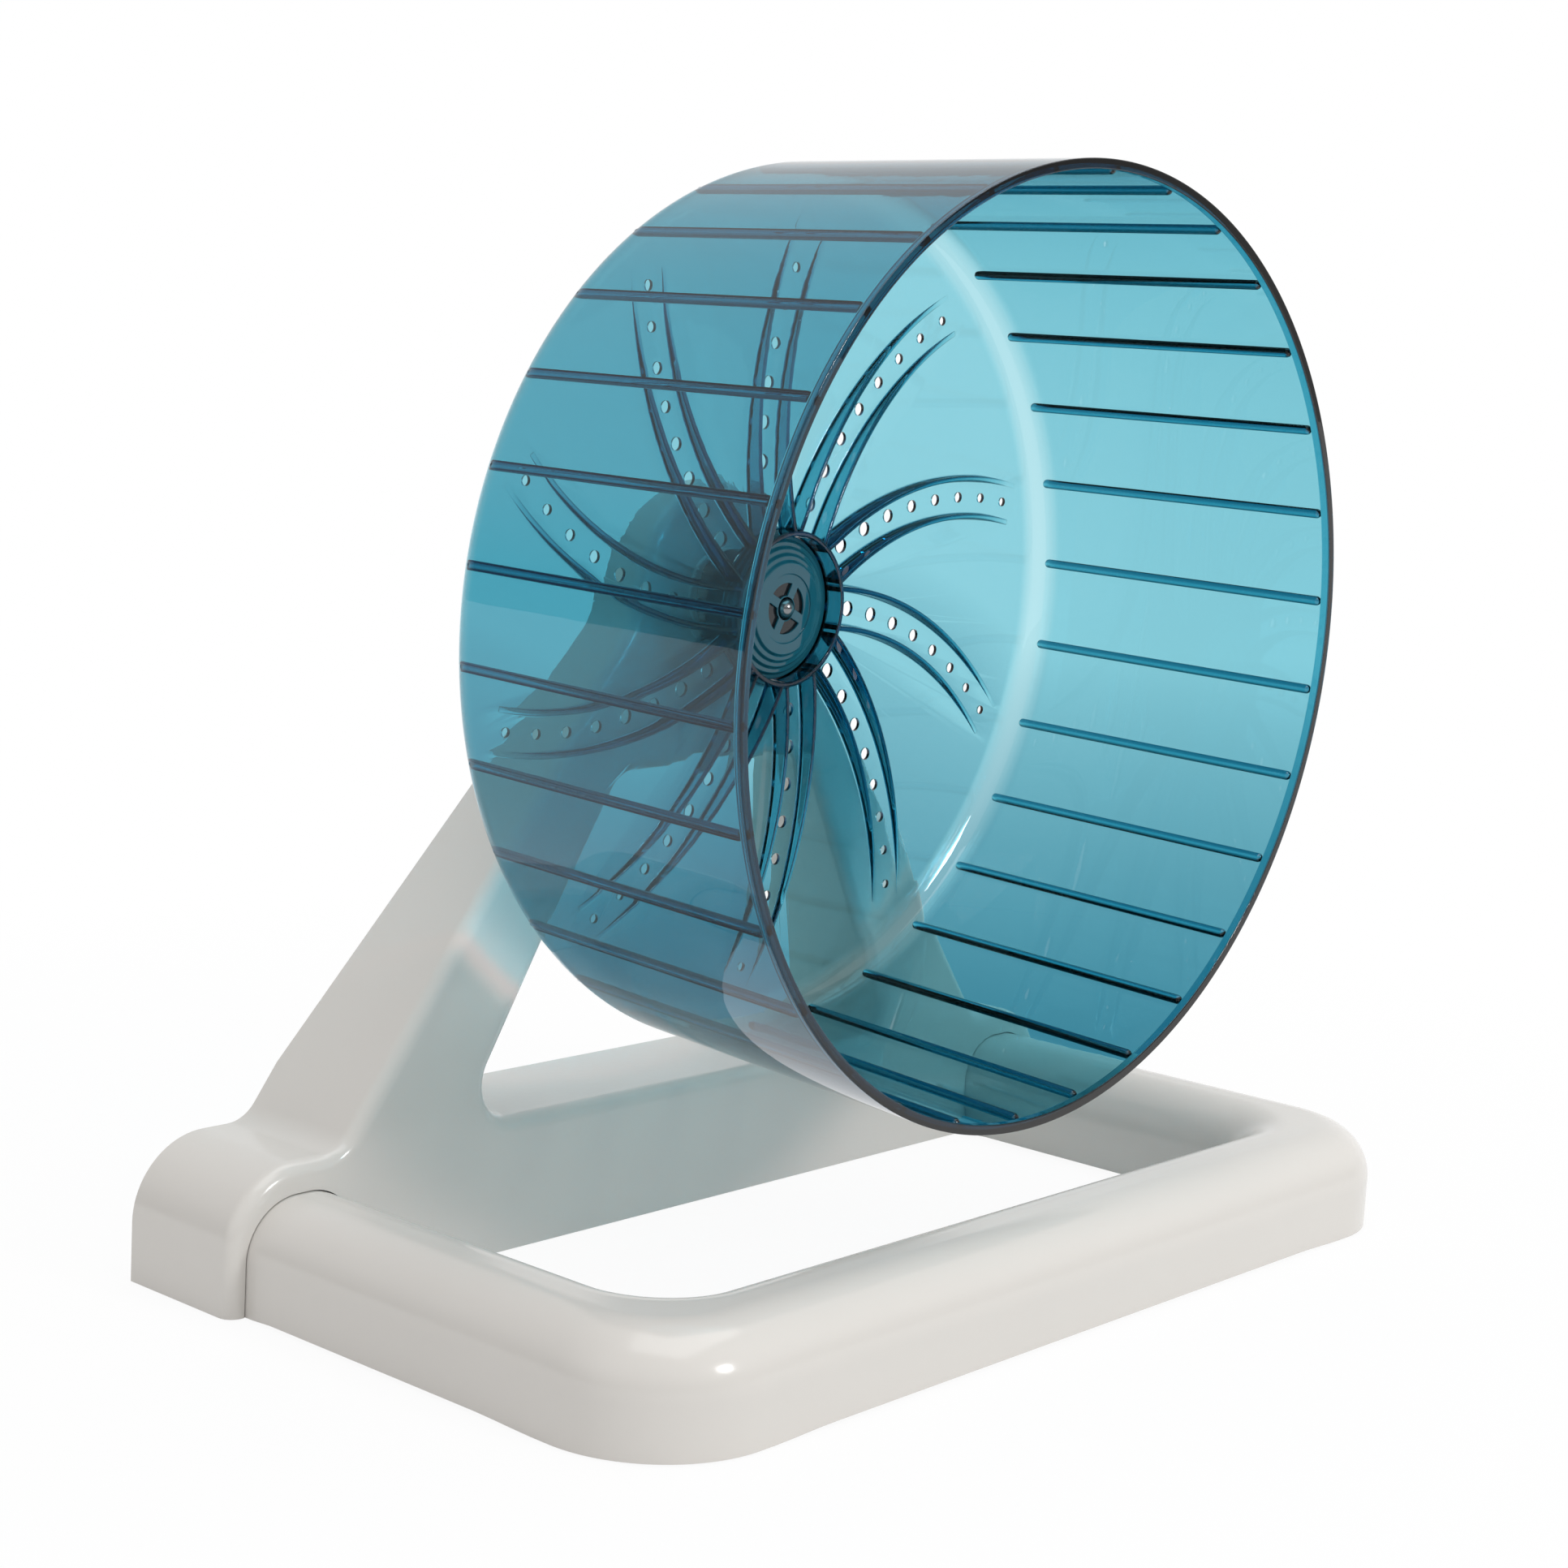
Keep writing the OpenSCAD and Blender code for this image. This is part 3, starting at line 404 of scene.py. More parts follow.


# %% [markdown]
# ## Painted shade on the clear plastic, and the back wall's shadow
#
# The rim's front face and the hub ring's front are looked at edge-on, and the light behind them has come
# through the whole depth of a wall. They look much darker than the walls, and the bottoms of the hub cover's
# pockets are darker still: this darkness is painted shade, a darker surface colour in place of shade. The
# back wall's shadow has less red than the side wall's. Extra faces with materials of their own would do it
# too. Here a mask from Object coordinates does it, because each place is a stretch of the axle inside a
# radius, and the solid stays one piece with one finish.

# %% Mask for a stretch of the axle
def axle_mask(reach, start, end):
    """With p the way from the axle's place and d = p . axle its depth, the mask rises from 0 at depth start to
    1 at depth end, where the radius sqrt(|p|^2 - d^2) is below the reach, and it is 0 outside that radius.
    A start behind the end turns it round, so that it is 1 in front."""
    group = bpy.data.node_groups.new("axle_mask", "ShaderNodeTree")
    socket(group, "Mask", "NodeSocketFloat", "OUTPUT")
    nodes, links = group.nodes, group.links
    place, outside = nodes.new("ShaderNodeTexCoord"), nodes.new("NodeGroupOutput")
    offset, depth, square = (nodes.new("ShaderNodeVectorMath") for _ in range(3))
    offset.operation, depth.operation, square.operation = "SUBTRACT", "DOT_PRODUCT", "DOT_PRODUCT"
    offset.inputs[1].default_value = axle_place * MM
    depth.inputs[1].default_value = axle_line
    links.new(place.outputs["Object"], offset.inputs[0])
    for node in (depth, square):
        links.new(offset.outputs[0], node.inputs[0])
    links.new(offset.outputs[0], square.inputs[1])
    depth_square, radius_square, near, both = (nodes.new("ShaderNodeMath") for _ in range(4))
    depth_square.operation, radius_square.operation, both.operation = "MULTIPLY", "SUBTRACT", "MULTIPLY"
    near.operation, near.inputs[1].default_value = "LESS_THAN", (reach * MM) ** 2
    links.new(depth.outputs["Value"], depth_square.inputs[0])
    links.new(depth.outputs["Value"], depth_square.inputs[1])
    links.new(square.outputs["Value"], radius_square.inputs[0])
    links.new(depth_square.outputs[0], radius_square.inputs[1])
    links.new(radius_square.outputs[0], near.inputs[0])
    ramp = nodes.new("ShaderNodeMapRange")
    ramp.inputs["From Min"].default_value, ramp.inputs["From Max"].default_value = start * MM, end * MM
    links.new(depth.outputs["Value"], ramp.inputs["Value"])
    links.new(near.outputs[0], both.inputs[0])
    links.new(ramp.outputs[0], both.inputs[1])
    links.new(both.outputs[0], outside.inputs["Mask"])
    return group


def recoloured(material, kind, name, mask, colour):
    """The colour that goes into one kind of node, blended to another colour by the mask group's value."""
    nodes, links = material.node_tree.nodes, material.node_tree.links
    target = next(n for n in nodes if n.type == kind).inputs[name]
    masked, blend = nodes.new("ShaderNodeGroup"), nodes.new("ShaderNodeMix")
    masked.node_tree, blend.data_type = mask, "RGBA"
    blend.inputs[6].default_value = target.default_value
    if target.is_linked:
        links.new(target.links[0].from_socket, blend.inputs[6])
    blend.inputs[7].default_value = (*colour, 1)
    links.new(masked.outputs[0], blend.inputs["Factor"])
    links.new(blend.outputs[2], target)


# %% Painted shade on the drum and the hub cover, and the back wall's shadow tint
rim_face, rim_fade, rim_past = 0.3, 0.2, 1.0
ring_ahead, ring_fade, ring_past = 1.0, 0.5, 0.6
pocket_behind, pocket_fade = 0.2, 0.4
rim_d, ring_d, wall_d = -rim_reach, ring_w - rim_reach, wall_w - rim_reach
pocket_d = cover_top_w + shallow_depth + pocket_behind - rim_reach
# Masks for painted shade on the rim's front face, the hub ring and the cover's pockets, and one for the back
# wall's shadow tint.
rim_shade_paint = axle_mask(drum_r + rim_past, rim_d + rim_face + rim_fade, rim_d + rim_face)
hub_shade_paint = axle_mask(hub_r + ring_past, ring_d - ring_ahead, ring_d - ring_ahead + ring_fade)
wall_mask = axle_mask(inner_wall_r, wall_d - ring_ahead, wall_d - ring_ahead + ring_fade)
pocket_shade_paint = axle_mask(dish_r, pocket_d, pocket_d + pocket_fade)
# Painted shade: darker surface colours on the rim's face, the hub ring and the pocket bottoms, in place of shade.
recoloured(drum_plastic, "GROUP", "Colour", rim_shade_paint, (0.14, 0.14, 0.16))
recoloured(drum_plastic, "GROUP", "Colour", hub_shade_paint, (0.25, 0.40, 0.44))
recoloured(drum_plastic, "BSDF_TRANSPARENT", "Color", wall_mask, (0.55, 0.80, 0.88))
recoloured(hub_plastic, "GROUP", "Colour", pocket_shade_paint, (0.010, 0.014, 0.018))
print("masks:", [m.name for m in (rim_shade_paint, hub_shade_paint, wall_mask, pocket_shade_paint)])

# %% [markdown]
# ## The A-frame
#
# The frame is a hollow moulding with soft front edges. Its outline is drawn once, from the right foot over
# the head to the left foot, with round stretches as arcs. Rings of that outline are then stacked in depth:
# a quarter circle round the front edge, the side, and the wall's inner side. The window is a second stack.
# An extruded outline with a bevel would also do, but the bevel would have to stop at the sharp tunnels.

# %% Outline of the frame
def corner(a, b, c, radius, steps):
    """The corner b of a path a, b, c as an arc tangent to both legs: its centre lies on their bisector, at
    radius / sin(half the angle) from b."""
    a, b, c = (np.array(p, float) for p in (a, b, c))
    u, v = (a - b) / np.linalg.norm(a - b), (c - b) / np.linalg.norm(c - b)
    half = math.acos(float(u @ v)) / 2
    centre = b + (u + v) / np.linalg.norm(u + v) * radius / math.sin(half)
    first, last = b + u * radius / math.tan(half) - centre, b + v * radius / math.tan(half) - centre
    start = math.degrees(math.atan2(first[1], first[0]))
    sweep = (math.degrees(math.atan2(last[1], last[0])) - start + 180) % 360 - 180
    return arc(centre, radius, start, start + sweep, steps)


bar_height, foot_round, leg_fillet, neck_round = 42.0, 24.0, 12.0, 20.0
head_r, leg_offset, leg_angle = 37.0, 28.1, math.radians(35.8)
window_half, window_top_half, window_top, window_round = 101.5, 41.0, 147.0, 12.0
lean_start, lean = 58.0, math.tan(math.radians(11.1))
axle_spot = np.array([0.0, axle_height])


def leg_x(z):
    """Half the width of the frame at a height: the leg's outer line, at a set distance from the axle."""
    return (leg_offset + (axle_height - z) * math.sin(leg_angle)) / math.cos(leg_angle)


def frame_back(z):
    """Where the frame's back lies at a height: upright low down, then leaning forwards."""
    return back_y - np.maximum(0, z - lean_start) * lean


join_turn = leg_angle - math.acos(leg_offset / head_r)
join = axle_spot + head_r * np.array([math.cos(join_turn), math.sin(join_turn)])
past_join = join + np.array([-math.sin(join_turn), math.cos(join_turn)])
foot_corner = np.array([leg_x(bar_height), bar_height])
half_outline = np.concatenate([
    [[frame_half, ground_gap]],
    corner([frame_half, ground_gap], [frame_half, bar_height], [0, bar_height], foot_round, 20),
    corner([frame_half, bar_height], foot_corner, join, leg_fillet, 12),
    [[leg_x(lean_start), lean_start]],
    corner(foot_corner, join, past_join, neck_round, 6),
    arc(axle_spot, head_r, math.degrees(join_turn) + 12, 90, 24),
])
outline = np.concatenate([half_outline, (half_outline * [-1, 1])[-2::-1]])
print("outline points:", len(outline))

# %% Tunnels and window of the frame
rail_width, rail_top, rail_round, rail_wall = 38.6, 33.0, 17.0, 2.6
tunnel_clearance = 0.35
base_half = base_high[0]
rail_x = base_half - rail_width / 2


def tunnel(side):
    """The arch that a rail passes through, from its left foot to its right foot."""
    half, top, r = (size + tunnel_clearance for size in (rail_width / 2, rail_top, rail_round))
    middle = side * rail_x
    return np.concatenate([
        [[middle - half, ground_gap]],
        arc([middle - half + r, top - r], r, 180, 90, 16),
        arc([middle + half - r, top - r], r, 90, 0, 16),
        [[middle + half, ground_gap]],
    ])


bottom = np.concatenate([tunnel(-1), tunnel(1)])
edge_path = np.concatenate([outline, bottom])
soft = np.concatenate([np.ones(len(outline)), np.zeros(len(bottom))])
window_corners = [(window_half, bar_height), (window_top_half, window_top),
                  (-window_top_half, window_top), (-window_half, bar_height)]
window_path = np.concatenate([
    corner(window_corners[i - 1], window_corners[i], window_corners[(i + 1) % 4], window_round, 14)
    for i in range(4)
])
print("edge points:", len(edge_path), "window points:", len(window_path))


# %% Rings of the frame
def normals(path):
    """Outward mitre of each point of a closed path: (n1 + n2) / (1 + n1 . n2) of its two edges' normals."""
    along = np.roll(path, -1, 0) - path
    along /= np.linalg.norm(along, axis=1)[:, None]
    n = np.stack([along[:, 1], -along[:, 0]], 1)
    before = np.roll(n, 1, 0)
    return (n + before) / (1 + (n * before).sum(1))[:, None]


front_round, frame_wall, near_edge = 4.5, 2.7, 0.4
edge_normals = normals(edge_path)
soft_normals = edge_normals * soft[:, None]
soft_normals[0] = (1, 0)
soft_normals[len(outline) - 1] = (-1, 0)


def upright_ring(path, depth):
    """Points of an x-z path stood upright at a depth in y, which is a number or one number for each point."""
    return np.stack([path[:, 0], depth + 0 * path[:, 0], path[:, 1]], 1)


def frame_rings(path, soft_way, wall_way, sign):
    """Rings from the front face round its soft edge, back along the side, and forwards inside the wall. Round
    the edge, with a from 0 to 90 degrees, the inset is R (1 - sin a) and the depth is R (1 - cos a)."""
    turn_steps = np.radians(np.linspace(0, 90, 11))
    inset = front_round * (1 - np.sin(turn_steps))
    depth = face_y + front_round * (1 - np.cos(turn_steps))
    rings = [upright_ring(path - sign * soft_way * (front_round + near_edge), face_y)]
    rings += [upright_ring(path - sign * soft_way * i, d) for i, d in zip(inset, depth)]
    rim = frame_back(path[:, 1])
    inner = path - sign * wall_way * frame_wall
    inner_rim = frame_back(inner[:, 1])
    rings += [
        upright_ring(path, face_y + front_round + near_edge),
        upright_ring(path, rim - near_edge),
        upright_ring(path, rim),
        upright_ring(inner, inner_rim),
        upright_ring(inner, face_y + frame_wall),
    ]
    return np.array(rings)


window_normals = normals(window_path)
outer_rings = frame_rings(edge_path, soft_normals, edge_normals, 1)
window_rings = frame_rings(window_path, window_normals, window_normals, -1)
frame_skin = Skin()
frame_skin.grid(outer_rings, wrap_cols=True)
frame_skin.grid(window_rings, wrap_cols=True)
frame_skin.sheet(outer_rings[0], window_rings[0])
frame_skin.sheet(outer_rings[-1], window_rings[-1])
print("rings of the frame:", len(outer_rings), "outside and", len(window_rings), "round the window")

# %% Boss of the axle on the frame's head
boss_r, boss_rise, boss_soft, boss_sunk = 16.0, 0.8, 0.6, 2.0
bore_r, bore_soft = 4.3, 0.3
boss_w, boss_back_w = rim_reach - boss_rise, rim_reach + boss_sunk
boss = np.concatenate([
    [[bore_r, boss_back_w], [bore_r, boss_w + bore_soft], [bore_r + bore_soft, boss_w],
     [boss_r - boss_soft, boss_w]],
    arc([boss_r - boss_soft, boss_w + boss_soft], boss_soft, -90, 0, 5),
    [[boss_r, boss_back_w]],
])
frame_skin.grid(spun(supported(boss), 96, on_axle), wrap_rows=True, wrap_cols=True)
piece("a_frame", frame_skin.mesh("a_frame"), "stand", stand_plastic, ["rear_frame"])

# %% [markdown]
# ## The base
#
# The base is one U-shaped hollow rail with a rounded top. Its section is carried along two lines at once,
# the outer edge and the inner edge, because their corner arcs have different centres. The section's round
# sides follow each line, and the flat top spans what is left between them. A curve with a bevel profile
# follows one line only, so both arcs of a corner would share a centre.

# %% Two edge lines of the base
front_y = base_low[1]
corner_outer, corner_inner = 37.7, 16.0
corner_cell = rail_width + corner_inner
tail_end = base_high[1]
edge_lift, half_fade = 0.6, 12.0


def edge_line(distance, radius, steps=24, arc_steps=40):
    """An edge of the base at a distance inside the outer one, from its right tail to its left, with inward
    normals: a straight, an arc and half the front rail, and the same again with -x."""
    x, y = base_half - distance, front_y + distance
    centre = np.array([x - radius, y + radius])
    bend = arc(centre, radius, 0, -90, arc_steps)
    straight = np.stack([np.full(steps, x), np.linspace(tail_end, centre[1], steps, endpoint=False)], 1)
    front = np.stack([np.linspace(centre[0], 0, steps + 1)[1:], np.full(steps, y)], 1)
    bend_way = -arc([0, 0], 1.0, 0, -90, arc_steps)
    way = np.concatenate([np.tile([-1.0, 0], (steps, 1)), bend_way, np.tile([0, 1.0], (steps, 1))])
    line, other = np.concatenate([straight, bend, front]), np.array([-1, 1])
    return np.concatenate([line, (line * other)[-2::-1]]), np.concatenate([way, (way * other)[-2::-1]])


outer_line, outer_way = edge_line(0, corner_outer)
inner_line, inner_way = edge_line(rail_width, corner_inner)
inner_way = -inner_way
print("base", round(2 * base_half, 1), "wide, edge points:", len(outer_line))


# %% Lower edge of the base
def smoothstep(t):
    """3 t^2 - 2 t^3 between 0 and 1."""
    t = np.clip(t, 0, 1)
    return t * t * (3 - 2 * t)


def foot_height(line):
    """Height of the base's lower edge: the ground gap at the corners and tails, and the lift more along the
    straight rails, with a smoothstep over two half fades between them."""
    x, y = np.abs(line[:, 0]), line[:, 1]
    corner_x, corner_y = base_half - corner_cell, front_y + corner_cell
    rail = smoothstep((y - corner_y + half_fade) / (2 * half_fade)) * smoothstep((face_y - y) / half_fade)
    front_rail = smoothstep((corner_x + half_fade - x) / (2 * half_fade)) * (y < corner_y)
    return ground_gap + edge_lift * np.maximum(rail, front_rail)


print("lower edge between", round(ground_gap, 2), "and", round(foot_height(outer_line).max(), 2))


# %% Section of the rail
near_corner = 0.3


def side_rows(line, way, inset):
    """Rows up one side of the rail: its foot, its upright part and its rounding, all drawn in by an inset. At
    an angle b the rounding is R + (R - inset) cos b in from the line, and (R - inset) sin b above the
    rounding's centre."""
    r, low = rail_round - inset, foot_height(line)
    middle = rail_top - rail_round
    up = np.array([0, near_corner, middle - near_corner, middle])
    bend = np.radians(np.linspace(180, 90, 19))[1:]
    across = np.concatenate([np.full(4, inset), rail_round + r * np.cos(bend), [rail_round + near_corner]])
    height = np.concatenate([up, middle + r * np.sin(bend), [rail_top - inset]])
    line = line.copy()
    line[[0, -1], 1] -= inset
    z = np.maximum(height[:, None], low[None, :])
    z[:2] = low + up[:2, None]
    xy = line[None] + way[None] * across[:, None, None]
    return np.concatenate([xy, z[..., None]], 2)


outer_side, outer_cave = (side_rows(outer_line, outer_way, inset) for inset in (0, rail_wall))
inner_side, inner_cave = (side_rows(inner_line, inner_way, inset) for inset in (0, rail_wall))
rail = np.concatenate([outer_side, inner_side[::-1], inner_cave, outer_cave[::-1]])
outside_rows = len(outer_side) * 2
base_skin = Skin()
base_skin.grid(rail, wrap_rows=True)
for end in (0, -1):
    base_skin.face(rail[:outside_rows, end])
    base_skin.face(rail[outside_rows:, end])
    base_skin.face(rail[[0, outside_rows - 1, outside_rows, -1], end])
print("rail section points:", len(rail), "stations:", rail.shape[1])


# %% [markdown]
# ## Under the base
#
# A hollow moulding needs bosses for its feet and screws, and thin ribs that hold its sides apart. They are
# turned shapes and boxes that run a little way into the rail's walls. A boolean would trim them there, but
# nothing shows where opaque plastic overlaps.

# %% Bosses under the base
def standing(x, y):
    """A place function that stands a turned profile upright at a spot: (x + px, y + py, w)."""
    return lambda px, py, w: np.stack([x + px, y + py, w + 0 * px], -1)


rail_ceiling = rail_top - rail_wall / 2
pad_inset, pad_back, pad_boss_r, pad_hole_r, pad_hole = 23.9, 14.0, 9.2, 7.02, 3.0
pad_boss_top = rail_ceiling - 6
screw_inset, screw_boss_r, screw_hole_r, screw_bite_r = 11.0, 5.3, 3.0, 1.7
screw_boss_low, screw_bite_low = 22.0, 24.8
pad_boss = np.array([
    [0.0, pad_hole], [pad_hole_r, pad_hole], [pad_hole_r, ground_gap], [pad_boss_r, ground_gap],
    [pad_boss_r, pad_boss_top], [0.0, pad_boss_top],
])
screw_boss = np.array([
    [screw_hole_r, screw_boss_low], [screw_boss_r, screw_boss_low], [screw_boss_r, rail_ceiling],
    [screw_bite_r, rail_ceiling], [screw_bite_r, screw_bite_low], [screw_hole_r, screw_bite_low],
])
for side in (-1, 1):
    for spot in ((side * (base_half - pad_inset), front_y + pad_inset), (side * rail_x, back_y - pad_back)):
        base_skin.grid(spun(pad_boss, 64, standing(*spot)), wrap_rows=True)
    spot = (side * rail_x, face_y + screw_inset)
    base_skin.grid(spun(screw_boss, 48, standing(*spot)), wrap_rows=True, wrap_cols=True)
print("bosses: 4 for the rubber feet and 2 for the screws")


# %% Ribs under the base
def rib_block(centre, size):
    """A thin cross rib as a box: centre + size / 2 times the signs of its eight corners."""
    signs = np.array([[(-1, -1, z), (1, -1, z), (1, 1, z), (-1, 1, z)] for z in (-1, 1)])
    corners = np.array(centre) + signs * np.array(size) / 2
    base_skin.grid(corners, wrap_cols=True)
    base_skin.face(corners[0])
    base_skin.face(corners[1])


rib_t, rib_low, rib_high = 1.6, 2.5, 20.0
rib_span, rib_middle, rib_tall = rail_width - rail_wall, (rib_low + rib_high) / 2, rib_high - rib_low
side_shares, front_shares = (0.25, 0.5, 0.75), (-0.75, -0.25, 0.25, 0.75)
for side in (-1, 1):
    for share in side_shares:
        y = front_y + corner_cell + share * (face_y - front_y - corner_cell)
        rib_block((side * rail_x, y, rib_middle), (rib_span, rib_t, rib_tall))
for share in front_shares:
    x = share * (base_half - corner_cell)
    rib_block((x, front_y + rail_width / 2, rib_middle), (rib_t, rib_span, rib_tall))
piece("u_base", base_skin.mesh("u_base"), "stand", stand_plastic, ["front_base"])

# %% [markdown]
# ## The drum
#
# The drum is a turned shape: its round wall, its back wall, the hub ring in front and the bearing housing
# behind are one closed profile spun about the axle. The running ribs and the spokes' ridges are added to
# that solid and the vent holes are cut from it, so the clear plastic is one body with no faces inside.
#
# Clear plastic shows its own thickness. The walls are thin, the rim has a thicker lip that looks dark, with
# painted shade on its front face as well, and the back corner is round inside and out: it bends the light of
# the backdrop into a pale ring.

# %% Places along the axle
bearing_r, bearing_width, bearing_gap, press = 11.0, 7.0, 2.0, 0.02
clip_ahead, clip_t, housing_past, housing_r = 0.6, 1.0, 0.5, 17.0
floor_w = ring_w + cover_depth + cover_t + cover_gap
clip_w = floor_w + clip_ahead
front_bearing_w = clip_w + clip_t
rear_bearing_w = front_bearing_w + bearing_width + bearing_gap
housing_end_w = rear_bearing_w + bearing_width + housing_past
print("bearings at w", round(front_bearing_w, 2), "and", round(rear_bearing_w, 2))


# %% Profile of the drum
def outer_radius(w):
    """Radius of the drum's outer side: its radius at the rim - w * slope."""
    return drum_r - w * drum_slope


def inner_radius(w):
    """Radius of the drum's inner side: the outer radius - the wall."""
    return outer_radius(w) - drum_wall


seat_r, stop_r, seat_soft, housing_taper = bearing_r + press, bearing_r - 1.2, 0.3, 0.9
rim_soft, lip_t, lip_depth, lip_soft = 0.35, 1.6, 3.0, 0.6
ring_soft, hub_fillet, housing_soft, housing_fillet = 0.5, 0.8, 0.6, 2.0
lip_r = drum_r - drum_wall - lip_t
front_bearing_end = front_bearing_w + bearing_width
drum_profile = np.concatenate([
    [[inner_radius(lip_depth), lip_depth]],
    arc([lip_r + lip_soft, lip_depth - lip_soft], lip_soft, 90, 180, 5),
    arc([lip_r + rim_soft, rim_soft], rim_soft, 180, 270, 5),
    arc([drum_r - rim_soft, rim_soft], rim_soft, 270, 360, 5),
    arc([outer_radius(drum_depth) - drum_corner, drum_depth - drum_corner], drum_corner, 0, 90, 18),
    arc([housing_r + housing_fillet, drum_depth + housing_fillet], housing_fillet, -90, -180, 6),
    arc([housing_r - housing_taper - housing_soft, housing_end_w - housing_soft], housing_soft, 0, 90, 4),
    [[seat_r + seat_soft, housing_end_w], [seat_r, housing_end_w - seat_soft], [seat_r, rear_bearing_w],
     [stop_r, rear_bearing_w], [stop_r, front_bearing_end], [seat_r, front_bearing_end], [seat_r, floor_w]],
    arc([hub_bore_r - hub_fillet, floor_w - hub_fillet], hub_fillet, 90, 0, 5),
    arc([hub_bore_r + ring_soft, ring_w + ring_soft], ring_soft, 180, 270, 5),
    arc([hub_r - ring_soft, ring_w + ring_soft], ring_soft, -90, 0, 5),
    arc([hub_r + hub_fillet, wall_w - hub_fillet], hub_fillet, 180, 90, 6),
    arc([inner_radius(wall_w) - inner_corner, wall_w - inner_corner], inner_corner, 90, 0, 16),
])
drum_profile = supported(drum_profile)
drum_skin = Skin()
drum_skin.grid(spun(drum_profile, 360, on_axle), wrap_rows=True, wrap_cols=True)
drum_mesh = drum_skin.mesh("drum")
print("drum profile points:", len(drum_profile))


# %% [markdown]
# ## Ribs, spokes and vent holes
#
# The animal runs on thirty thin ribs inside the round wall. Ten curved spokes stiffen the back wall: each
# is a pair of low ridges that fall away towards the tip, with a row of vent holes between them. A bump map
# would draw them on the surface, but only real solids bend the light and darken as thick plastic does. Each
# is worked out once and turned about the axle for its copies.

# %% Running ribs
def rotated(x, y, degrees):
    """x and y turned about the axle: x cos a - y sin a and x sin a + y cos a."""
    a = math.radians(degrees)
    return x * math.cos(a) - y * math.sin(a), x * math.sin(a) + y * math.cos(a)


rib_count, rib_r, rib_height, rib_end_gap = 30, 1.5, 2.5, 4.0
rib_start, rib_stop = lip_depth, wall_w - rib_end_gap
cap = np.radians(np.linspace(0, 90, 8))
rib_profile = np.concatenate([
    np.stack([rib_r * np.sin(cap), rib_start + rib_r * (1 - np.cos(cap))], 1),
    np.stack([rib_r * np.cos(cap), rib_stop - rib_r * (1 - np.sin(cap))], 1),
])
around = np.linspace(0, 2 * np.pi, 24, endpoint=False)[:, None]
rib_x = rib_profile[None, :, 0] * np.cos(around)
rib_w = rib_profile[None, :, 1] + 0 * around
rib_y = rib_profile[None, :, 0] * np.sin(around) - (inner_radius(rib_w) - rib_height + rib_r)
rib_skin = Skin()
for i in range(rib_count):
    rib_skin.grid(on_axle(*rotated(rib_x, rib_y, drum_turn + i * 360 / rib_count), rib_w), wrap_rows=True)
rib_mesh = rib_skin.mesh("ribs")
print("ribs:", rib_count)

# %% Ridges of the curved spokes
spoke_count, spoke_bend, spoke_start, spoke_sweep = 10, 132.0, 18.0, 46.0
ridge_gap, ridge_t, ridge_root, ridge_sunk, tip_share = 12.6, 1.6, 0.6, 0.6, 0.01
root_r = (hub_r + hub_bore_r) / 2
chord_turn = math.radians(270 + spoke_sweep / 2)
chord_way = np.array([math.cos(chord_turn), math.sin(chord_turn)])
chord = 2 * spoke_bend * math.sin(math.radians(spoke_sweep / 2))
hub_reach = hub_r - spoke_start


def ridge(radius):
    """One ridge in its spoke's own frame: an arc that starts inside the hub ring. Its height h falls with the
    way along the spoke's chord, from the ring's front to nothing at the tip. Its section is a round crest of
    height min(t / 2, h / 2) on upright sides that flare into the wall by a hollow quarter circle. It gives
    x, y and w, each of shape (stations, section)."""
    fine = np.radians(np.linspace(0, spoke_sweep, 2000))
    far = np.hypot(spoke_bend - radius * np.cos(fine), -spoke_start - radius * np.sin(fine))
    start = fine[np.argmax(far > root_r)]
    a = np.linspace(start, math.radians(spoke_sweep), 90)[:, None]
    out = np.stack([-np.cos(a), -np.sin(a)], -1)
    along = (radius * out + [spoke_bend, 0]) @ chord_way
    height = (wall_w - ring_w) * np.clip((chord - along) / (chord - hub_reach), tip_share, 1)
    half, root = ridge_t / 2, np.minimum(ridge_root, height / 2)
    crest = np.minimum(half, height / 2)
    bend = np.radians(np.linspace(90, 0, 5))[None, :]
    side = np.concatenate([half + root, half + root * (1 - np.cos(bend)), half * np.sin(bend) + 0 * root], 1)
    top = height - crest + crest * np.cos(bend)
    rise = np.concatenate([0 * root - ridge_sunk, root * (1 - np.sin(bend)), top], 1)
    side = np.concatenate([-side, side[:, -2::-1]], 1)
    rise = np.concatenate([rise, rise[:, -2::-1]], 1)
    spot = out * (radius + side)[..., None] + [spoke_bend, -spoke_start]
    return spot[..., 0], spot[..., 1], wall_w - rise


ridge_meshes = []
for offset in (-ridge_gap / 2, ridge_gap / 2):
    skin = Skin()
    x, y, w = ridge(spoke_bend + offset)
    for i in range(spoke_count):
        points = on_axle(*rotated(x, y, drum_turn + (i + 0.5) * 360 / spoke_count), w)
        skin.grid(points, wrap_cols=True)
        skin.face(points[0])
        skin.face(points[-1])
    ridge_meshes.append(skin.mesh("ridges"))
print("ridges:", 2 * spoke_count)

